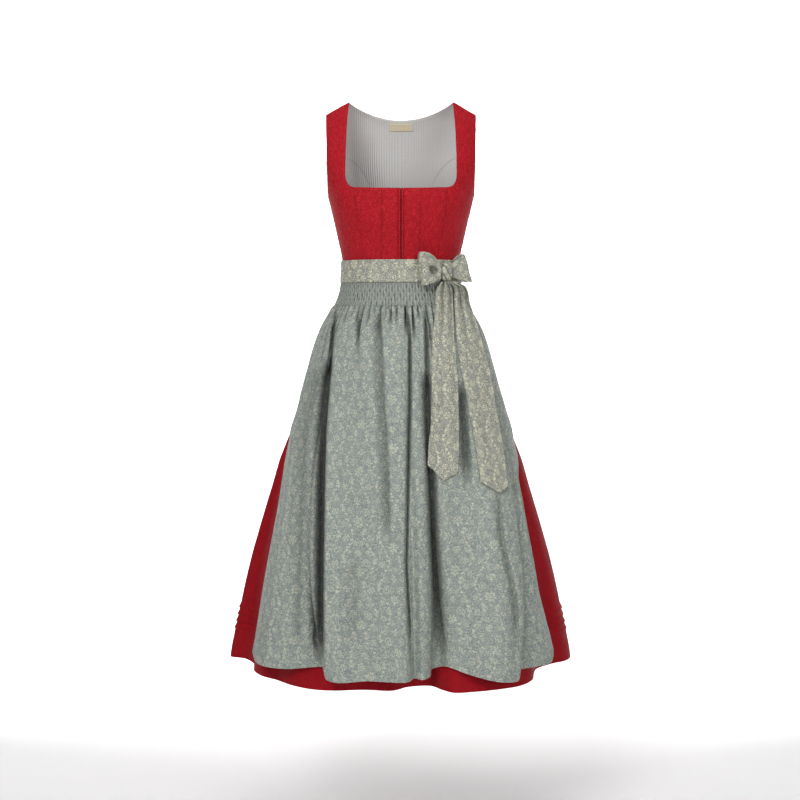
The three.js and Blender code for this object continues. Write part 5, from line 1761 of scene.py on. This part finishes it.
    def tail(self, tail: Tail, resting: Resting, seed: int) -> None:
        """Makes one hanging end, pleated under the knot and cut to a point below."""
        c, down = crowded(50, 1.6), np.linspace(0, 1, 110)
        left, tip, right = tail.ends
        bottom = np.where(c < tail.tip, lerp(left, tip, c / tail.tip),
                          lerp(tip, right, (c - tail.tip) / (1 - tail.tip)))
        top = tail.edges.rows[0][0]
        z = lerp(top, bottom[None], down[:, None] ** 1.25)
        edge = tail.edges.at(top - z)
        x = lerp(edge["left"], edge["right"], c[None])
        settled = smoothstep(top - z, 0, 45)
        folded = (1 - np.cos(FULL_TURN * 2 * (c[None] + 0.12) ** 1.2)) / 2
        pleat = folded * (6 * (1 - smoothstep(top - z, 20, 150)) + 1.2)
        creases = np.abs(np.sin(FULL_TURN * 2.5 * c[None] + 0.5)) * 1.4 * (1 - settled * 0.85)
        soft = 0.5 * ripple(c[None] * 60 + z * 0.12, seed) * settled
        hem = 0.5 * bell(np.minimum(c, 1 - c) * RIBBON_WIDTH - 3.5, 0.9)
        rest = resting.at(x, z) - self.clearance
        y = np.minimum(rest, lerp(tail.depth, rest, settled))
        y = y - SASH_CLOTH - pleat - creases + soft * 0.5 + hem[None] * settled
        # Painted shade in the narrow valleys of the pleats under the knot.
        depth = 0.9 * (1 - folded) ** 5 * (1 - smoothstep(top - z, 10, 120))
        surface = Surface.from_grid(stacked(x, y, z), depth=depth)
        self.made.append(shell(tail.name, surface, SASH_CLOTH))

    def build(self, under: Sequence[Surface]) -> list[Object]:
        """Makes the band and the bow.

        Args:
            under: the surfaces that the hanging ends lie over.

        Returns:
            Every piece.
        """
        self.band()
        self.knot()
        for loop in self.loops:
            self.loop(loop)
        resting = Resting(under)
        for seed, tail in enumerate(self.tails):
            self.tail(tail, resting, 60 + seed)
        return self.made

    def dress(self, cloth: Material) -> None:
        """Gives every piece its cloth and ties it to the frame."""
        dress(self.made, cloth)


# ---------------------------------------------------------------- finishes
class Motif(Enum):
    """What is woven into a cloth."""

    PLAIN = "plain"
    DAMASK = "damask"
    STRIPES = "stripes"


def weave_group() -> Tree:
    """Threads over and under one another, with slubs: a height and a shade around 1."""
    g, given, out = group(
        "weave", "Shader", "Vector:Vector Pitch:Float", "Height:Float Shade:Float"
    )
    u, v, _ = g.parts(given["Vector"])
    a, b = u / given["Pitch"] * math.pi, v / given["Pitch"] * math.pi
    warp, weft = abs(g.math("SINE", a)), abs(g.math("SINE", b))
    over = g.soft(g.math("COSINE", a) * g.math("COSINE", b), -0.3, 0.3)
    threads = warp * over + weft * (1.0 - over)
    long_ways = g.noise(g.combined(u * 9.0, v), 130, 3)
    short_ways = g.noise(g.combined(u, v * 9.0), 130, 3)
    slub = long_ways + short_ways + g.noise(given["Vector"], 420, 4) * 1.6 - 1.8
    g.fill(out, {"Height": threads * 0.12 + slub * 0.3, "Shade": 1.0 + slub * 0.5})
    return g.tree


def blossom(g: Graph, x: Value, y: Value, radius: float, petals: int) -> Value:
    """A flower's mask round 0, 0: petals, a dark ring and a filled eye, in millimetres."""
    r = g.math("SQRT", x * x + y * y)
    wavy = g.math("COSINE", g.math("ARCTAN2", y, x) * float(petals))
    inside = g.soft(radius * 0.8 + wavy * (radius * 0.2) - r, -0.2, 0.7)
    veins = g.soft(wavy + r / radius, -0.6, 0.1)
    return inside * veins * g.soft(abs(r - radius * 0.42), 0.3, 1.1)


def curl(g: Graph, x: Value, y: Value, radius: float, way: float) -> Value:
    """A scroll's mask round 0, 0: a stroke that winds inwards, in millimetres."""
    r = g.math("SQRT", x * x + y * y)
    wound = g.math("FRACT", r / (radius * 0.46) - g.math("ARCTAN2", y, x) * (way / FULL_TURN))
    return g.soft(abs(wound - 0.5), 0.24, 0.12) * g.soft(r, radius, radius * 0.86)


def damask_group() -> Tree:
    """Flowers, scrolls, vines with leaves and small dots: a figure mask and a relief.

    Returns:
        The group; its Size input stretches the repeat of 84 by 118 mm.
    """
    g, given, out = group(
        "damask", "Shader", "Vector:Vector Size:Float", "Figure:Float Relief:Float"
    )
    width, length = 84.0, 118.0
    shifted = given["Vector"]
    for scale, reach in ((55, 0.009), (260, 0.0026)):
        shift = g.scaled(g.noise(given["Vector"], scale, 1, "Color"), reach)
        shifted = g.value("ShaderNodeVectorMath", (shifted, shift), operation="ADD")
    u, v, _ = g.parts(g.scaled(shifted, g.math("DIVIDE", 1000.0, given["Size"])))
    column = u / width
    drop = g.math("FLOORED_MODULO", g.math("FLOOR", column), 2.0) * 0.5
    x = abs((g.math("FRACT", column) - 0.5) * width)
    y = (g.math("FRACT", v / length + drop) - 0.5) * length
    flowers = ((0, 0, 12.5, 8), (29, -38, 8, 6), (0, 47, 8.5, 5), (38, 27, 7, 7))
    scrolls = ((19, 22, 10, 1), (15, -24, 8, -1), (34, -8, 7.5, 1), (8, -49, 7, -1), (25, 47, 7, 1))
    marks = [blossom(g, x - right, y - up, *shape) for right, up, *shape in flowers]
    marks += [curl(g, x - right, y - up, *shape) for right, up, *shape in scrolls]
    vine = abs(x - (g.math("SINE", y * (FULL_TURN / length)) * 12.0 + 25.0))
    leaves = g.math("SINE", y * (FULL_TURN / 11)) * 3.6
    flat = g.combined(u, v)
    dots = g.value("ShaderNodeTexVoronoi", {"Vector": flat, "Scale": 0.21}, "Distance")
    lines = abs(g.math("FRACT", g.noise(flat, 0.1, 1) * 7.5) - 0.5)
    marks += [g.soft(vine, 1.3, 0.4) * 0.6, g.soft(vine - leaves, 0.4, -0.6)]
    marks += [g.soft(lines, 0.26, 0.1) * 0.72, g.soft(dots, 0.3, 0.16) * 0.6]
    figure = marks[0]
    for mark in marks[1:]:
        figure = g.math("MAXIMUM", figure, mark)
    worn = g.soft(g.noise(given["Vector"], 240, 3), 0.3, 0.62)
    figure = figure * (0.45 + worn * 0.6)
    g.fill(out, {"Figure": figure, "Relief": figure * 0.25})
    return g.tree


def stripes_group() -> Tree:
    """Upright stripes of an uneven strength: a figure mask and a relief."""
    g, given, out = group(
        "stripes", "Shader", "Vector:Vector Size:Float", "Figure:Float Relief:Float"
    )
    u, v, _ = g.parts(given["Vector"])
    wave = g.math("SINE", u / (given["Size"] * 0.0038) * FULL_TURN)
    uneven = 0.4 + g.noise(g.combined(u, v * 0.15), 30, 2)
    broad = g.soft(g.noise(g.combined(u, v * 0.4), 9, 1), 0.35, 0.65)
    place = g.value("ShaderNodeTexCoord", output="Object")
    on_right = g.soft(g.parts(place)[0], 0.02, -0.08)
    figure = g.soft(wave, -0.2, 0.8) * (uneven * (0.25 + broad) * (0.15 + on_right * 0.85))
    g.fill(out, {"Figure": figure, "Relief": figure * 0.1})
    return g.tree


class Groups:
    """The shared node groups, each made once."""

    def __init__(self) -> None:
        """Builds them all."""
        self.weave = weave_group()
        self.motifs = {Motif.DAMASK: damask_group(), Motif.STRIPES: stripes_group()}


def srgb(*colour: int) -> tuple[float, ...]:
    """A screen colour of 0 to 255 as a linear colour."""
    shares = (value / 255 for value in colour)
    linear = (s / 12.92 if s <= 0.04045 else ((s + 0.055) / 1.055) ** 2.4 for s in shares)
    return *linear, 1.0


def plain_material(name: str, colour: tuple[float, ...], roughness: float) -> tuple[
        Material, Node]:
    """A material of one linear colour, and its shader."""
    material = bpy.data.materials.new(name)
    material.use_nodes = True
    shader = next(n for n in material.node_tree.nodes if n.type == "BSDF_PRINCIPLED")
    shader.inputs["Base Color"].default_value = colour
    shader.inputs["Roughness"].default_value = roughness
    return material, shader


@dataclass(frozen=True)
class Finish:
    """One cloth's finish.

    Args:
        name: the material's name.
        ground: the cloth's colour on a screen.
        figure: the woven figure's colour on a screen.
        motif: what is woven in.
        size: of the motif; 1 is its plain size.
        contrast: how fully the figure shows.
        thread: the weave's pitch in metres.
        mottle: how much the colour varies from place to place.
        roughness, sheen, bump: of the surface.
        hollow: how much the painted shade of the depth attribute darkens the cloth, deep in folds,
            grooves and seams.
    """

    name: str
    ground: tuple[int, int, int]
    figure: tuple[int, int, int]
    motif: Motif = Motif.PLAIN
    size: float = 1.0
    contrast: float = 1.0
    thread: float = 0.0008
    mottle: float = 0.12
    grain: float = 1.0
    roughness: float = 0.8
    figure_roughness: float = 0.6
    sheen: float = 0.25
    bump: float = 0.6
    hollow: float = 0.75

    def make(self, groups: Groups) -> Material:
        """Builds the material."""
        material, shader = plain_material(self.name, srgb(*self.ground), self.roughness)
        g = Graph(material.node_tree)
        cloth = g.value("ShaderNodeUVMap", output="UV", uv_map="cloth")
        inputs = {"Vector": cloth, "Pitch": self.thread}
        weave = g.node("ShaderNodeGroup", inputs, node_tree=groups.weave)
        figure: Value | float = 0.0
        height = Value(g, weave.outputs["Height"])
        if self.motif in groups.motifs:
            inputs = {"Vector": cloth, "Size": self.size}
            motif = g.node("ShaderNodeGroup", inputs, node_tree=groups.motifs[self.motif])
            figure = Value(g, motif.outputs["Figure"]) * self.contrast
            height = height + Value(g, motif.outputs["Relief"])
        colour = g.mixed(figure, srgb(*self.ground), srgb(*self.figure))
        patches = (g.noise(cloth, 28, 3) - 0.5) * (self.mottle * 2)
        shade = (Value(g, weave.outputs["Shade"]) - 1.0) * self.grain + (1.0 + patches)
        # Painted shade: the depth attribute darkens the base colour where shade falls.
        depth = g.value("ShaderNodeAttribute", output="Fac", attribute_name="depth")
        bump = {"Strength": self.bump, "Distance": 0.001, "Height": height}
        g.fill(shader, {
            "Base Color": g.scaled(colour, shade * (1.0 - depth * self.hollow)),
            "Roughness": figure * (self.figure_roughness - self.roughness) + self.roughness,
            "Normal": g.value("ShaderNodeBump", bump),
            "Sheen Weight": self.sheen,
            "Sheen Roughness": 0.45,
            "Specular IOR Level": 0.18,
        })
        return material


@dataclass(frozen=True)
class Thread:
    """One sewing thread's finish."""

    name: str
    colour: tuple[int, int, int]
    roughness: float = 0.6

    def make(self) -> Material:
        """Builds the material."""
        return plain_material(self.name, srgb(*self.colour), self.roughness)[0]


BODICE_CLOTH = Finish("bodice_cloth", (160, 11, 26), (198, 40, 50), Motif.DAMASK, 0.6, 0.6,
                      mottle=0.14, grain=2.3, sheen=0.0, bump=0.9)
SKIRT_CLOTH = Finish("skirt_cloth", (142, 3, 18), (168, 20, 32), Motif.DAMASK, 0.62, 0.3,
                     mottle=0.1, grain=0.6, sheen=0.0)
LINING_CLOTH = Finish("lining_cloth", (208, 209, 207), (148, 150, 148), Motif.STRIPES, 1.0, 0.95,
                      mottle=0.04, grain=0.3, sheen=0.04, roughness=0.75)
APRON_DAMASK = Finish("apron_cloth", (121, 131, 130), (194, 194, 174), Motif.DAMASK, 0.85, 0.76,
                      mottle=0.1, grain=1.1, sheen=0.05, roughness=0.75, figure_roughness=0.5,
                      hollow=0.84)
HEAD_DAMASK = Finish("apron_head_cloth", (140, 147, 141), (200, 201, 186), Motif.DAMASK, 0.5, 0.45,
                     mottle=0.1, grain=1.1, sheen=0.05, roughness=0.75, figure_roughness=0.5)
SASH_DAMASK = Finish("sash_cloth", (124, 129, 126), (208, 203, 176), Motif.DAMASK, 0.85, 0.95,
                     mottle=0.12, grain=1.0, sheen=0.06, roughness=0.75, figure_roughness=0.6,
                     hollow=0.65)
LABEL_CLOTH = Finish("label_cloth", (214, 205, 176), (214, 205, 176), thread=0.0005,
                     mottle=0.05, grain=0.4, sheen=0.1)
RED_THREAD = Thread("red_thread", (142, 18, 30))
GREY_THREAD = Thread("grey_thread", (66, 66, 64))
PALE_THREAD = Thread("pale_thread", (150, 154, 150))


# ---------------------------------------------------------------- the studio
@dataclass
class Studio:
    """A pale floor that curves up behind, soft lights and the camera.

    Args:
        floor_level: in metres.
        back: how far behind the dress the backdrop rises.
        camera_place, camera_target: in metres.
        lens: in millimetres, on a sensor 36 mm wide.
    """

    floor_level: float = -1.55
    back: float = 4.6
    camera_place: tuple[float, float, float] = (-0.002, -3.3, -0.454)
    camera_target: tuple[float, float, float] = (-0.002, 0.0, -0.622)
    lens: float = 70.7

    def backdrop(self) -> None:
        """Makes the floor and the backdrop in one curved sheet."""
        bend = 1.2
        turn = np.linspace(0, math.pi / 2, 24)
        profile = [(-9.0, 0.0), *zip(self.back - bend + bend * np.sin(turn),
                                     bend - bend * np.cos(turn)), (self.back, 7.0)]
        points = [(x, y, self.floor_level + z) for y, z in profile for x in (-9.0, 9.0)]
        faces = [(2 * i, 2 * i + 1, 2 * i + 3, 2 * i + 2) for i in range(len(profile) - 1)]
        mesh = bpy.data.meshes.new("backdrop")
        mesh.from_pydata(points, [], faces)
        smooth(mesh)
        mesh.materials.append(plain_material("backdrop", (0.9, 0.9, 0.9, 1), 0.9)[0])
        placed("backdrop", mesh)

    @staticmethod
    def aim(made: Object, place: Sequence[float], target: Sequence[float]) -> None:
        """Puts an object at a place, looking at a target."""
        made.location = place
        made.rotation_euler = (Vector(target) - Vector(place)).to_track_quat("-Z", "Y").to_euler()

    def light(self, name: str, place: tuple[float, float, float], size: float, power: float,
              target: tuple[float, float, float] = (0, 0, -0.6)) -> None:
        """Adds a square soft light that looks at a target."""
        lamp = bpy.data.lights.new(name, "AREA")
        lamp.shape, lamp.size, lamp.energy = "SQUARE", size, power
        self.aim(placed(name, lamp), place, target)

    def build(self) -> None:
        """Makes the backdrop, the lights, the surroundings and the camera."""
        self.backdrop()
        self.light("key", (-1.1, -3.5, 1.3), 1.3, 90)
        self.light("fill", (2.0, -3.6, 0.2), 2.0, 46)
        self.light("top", (0.0, -0.9, 2.2), 1.2, 26)
        self.light("backdrop_left", (-2.6, 1.7, 0.2), 1.6, 240, (-1.4, 4.6, -0.4))
        self.light("backdrop_right", (2.6, 1.7, 0.2), 1.6, 240, (1.4, 4.6, -0.4))
        world = bpy.data.worlds.new("studio")
        world.use_nodes = True
        sky = next(n for n in world.node_tree.nodes if n.type == "BACKGROUND")
        sky.inputs["Color"].default_value = (1, 1, 1, 1)
        sky.inputs["Strength"].default_value = 0.14
        scene = bpy.context.scene
        scene.world = world
        scene.view_settings.view_transform = "Standard"
        camera = bpy.data.cameras.new("camera")
        camera.lens, camera.sensor_width = self.lens, 36
        scene.camera = placed("camera", camera)
        self.aim(scene.camera, self.camera_place, self.camera_target)


# ---------------------------------------------------------------- the whole dirndl
def area_of(made: Object) -> float:
    """Half a closed cloth's surface, in square metres."""
    return sum(p.area for p in made.data.polygons) / 2


def log_pieces(made: Iterable[Object]) -> None:
    """Logs every piece with its faces and its cloth's area."""
    for each in made:
        cut = CUTS[node_of(each)]
        LOG.info("%s: %d faces, %.4f m2 of cloth from %.4f m2", each.name,
                 len(each.data.polygons), area_of(each), cut.width * cut.length)


def main() -> None:
    logging.basicConfig(level=logging.INFO, format="%(message)s", stream=sys.stdout)
    groups = Groups()
    bodice = Bodice(BodiceForm())
    log_pieces(bodice.build())
    skirt = Skirt(SkirtForm())
    log_pieces(skirt.build())
    apron = Apron(ApronForm(skirt.form))
    log_pieces(apron.build())
    sash = Sash()
    log_pieces(sash.build([apron.panel, apron.head, skirt.front]))
    bodice.dress(*(finish.make(groups) for finish in (BODICE_CLOTH, LINING_CLOTH, LABEL_CLOTH)))
    skirt.dress(SKIRT_CLOTH.make(groups))
    apron.dress(APRON_DAMASK.make(groups), HEAD_DAMASK.make(groups))
    sash.dress(SASH_DAMASK.make(groups))
    red = Stitching("bodice_stitches", "bodice_cloth", seed=3)
    grey = Stitching("lining_stitches", "lining_cloth", pitch=5.2, length=1.3, radius=0.45, seed=4)
    pale = Stitching("smocking_stitches", "apron_cloth", pitch=2.6, length=0.9, radius=0.35, seed=5)
    bodice.stitches(red, grey)
    apron.stitches(pale)
    for stitching, thread in ((red, RED_THREAD), (grey, GREY_THREAD), (pale, PALE_THREAD)):
        made = stitching.build(thread.make())
        LOG.info("%s: %d faces", made.name, len(made.data.polygons))
    Studio().build()


if __name__ == "__main__":
    main()
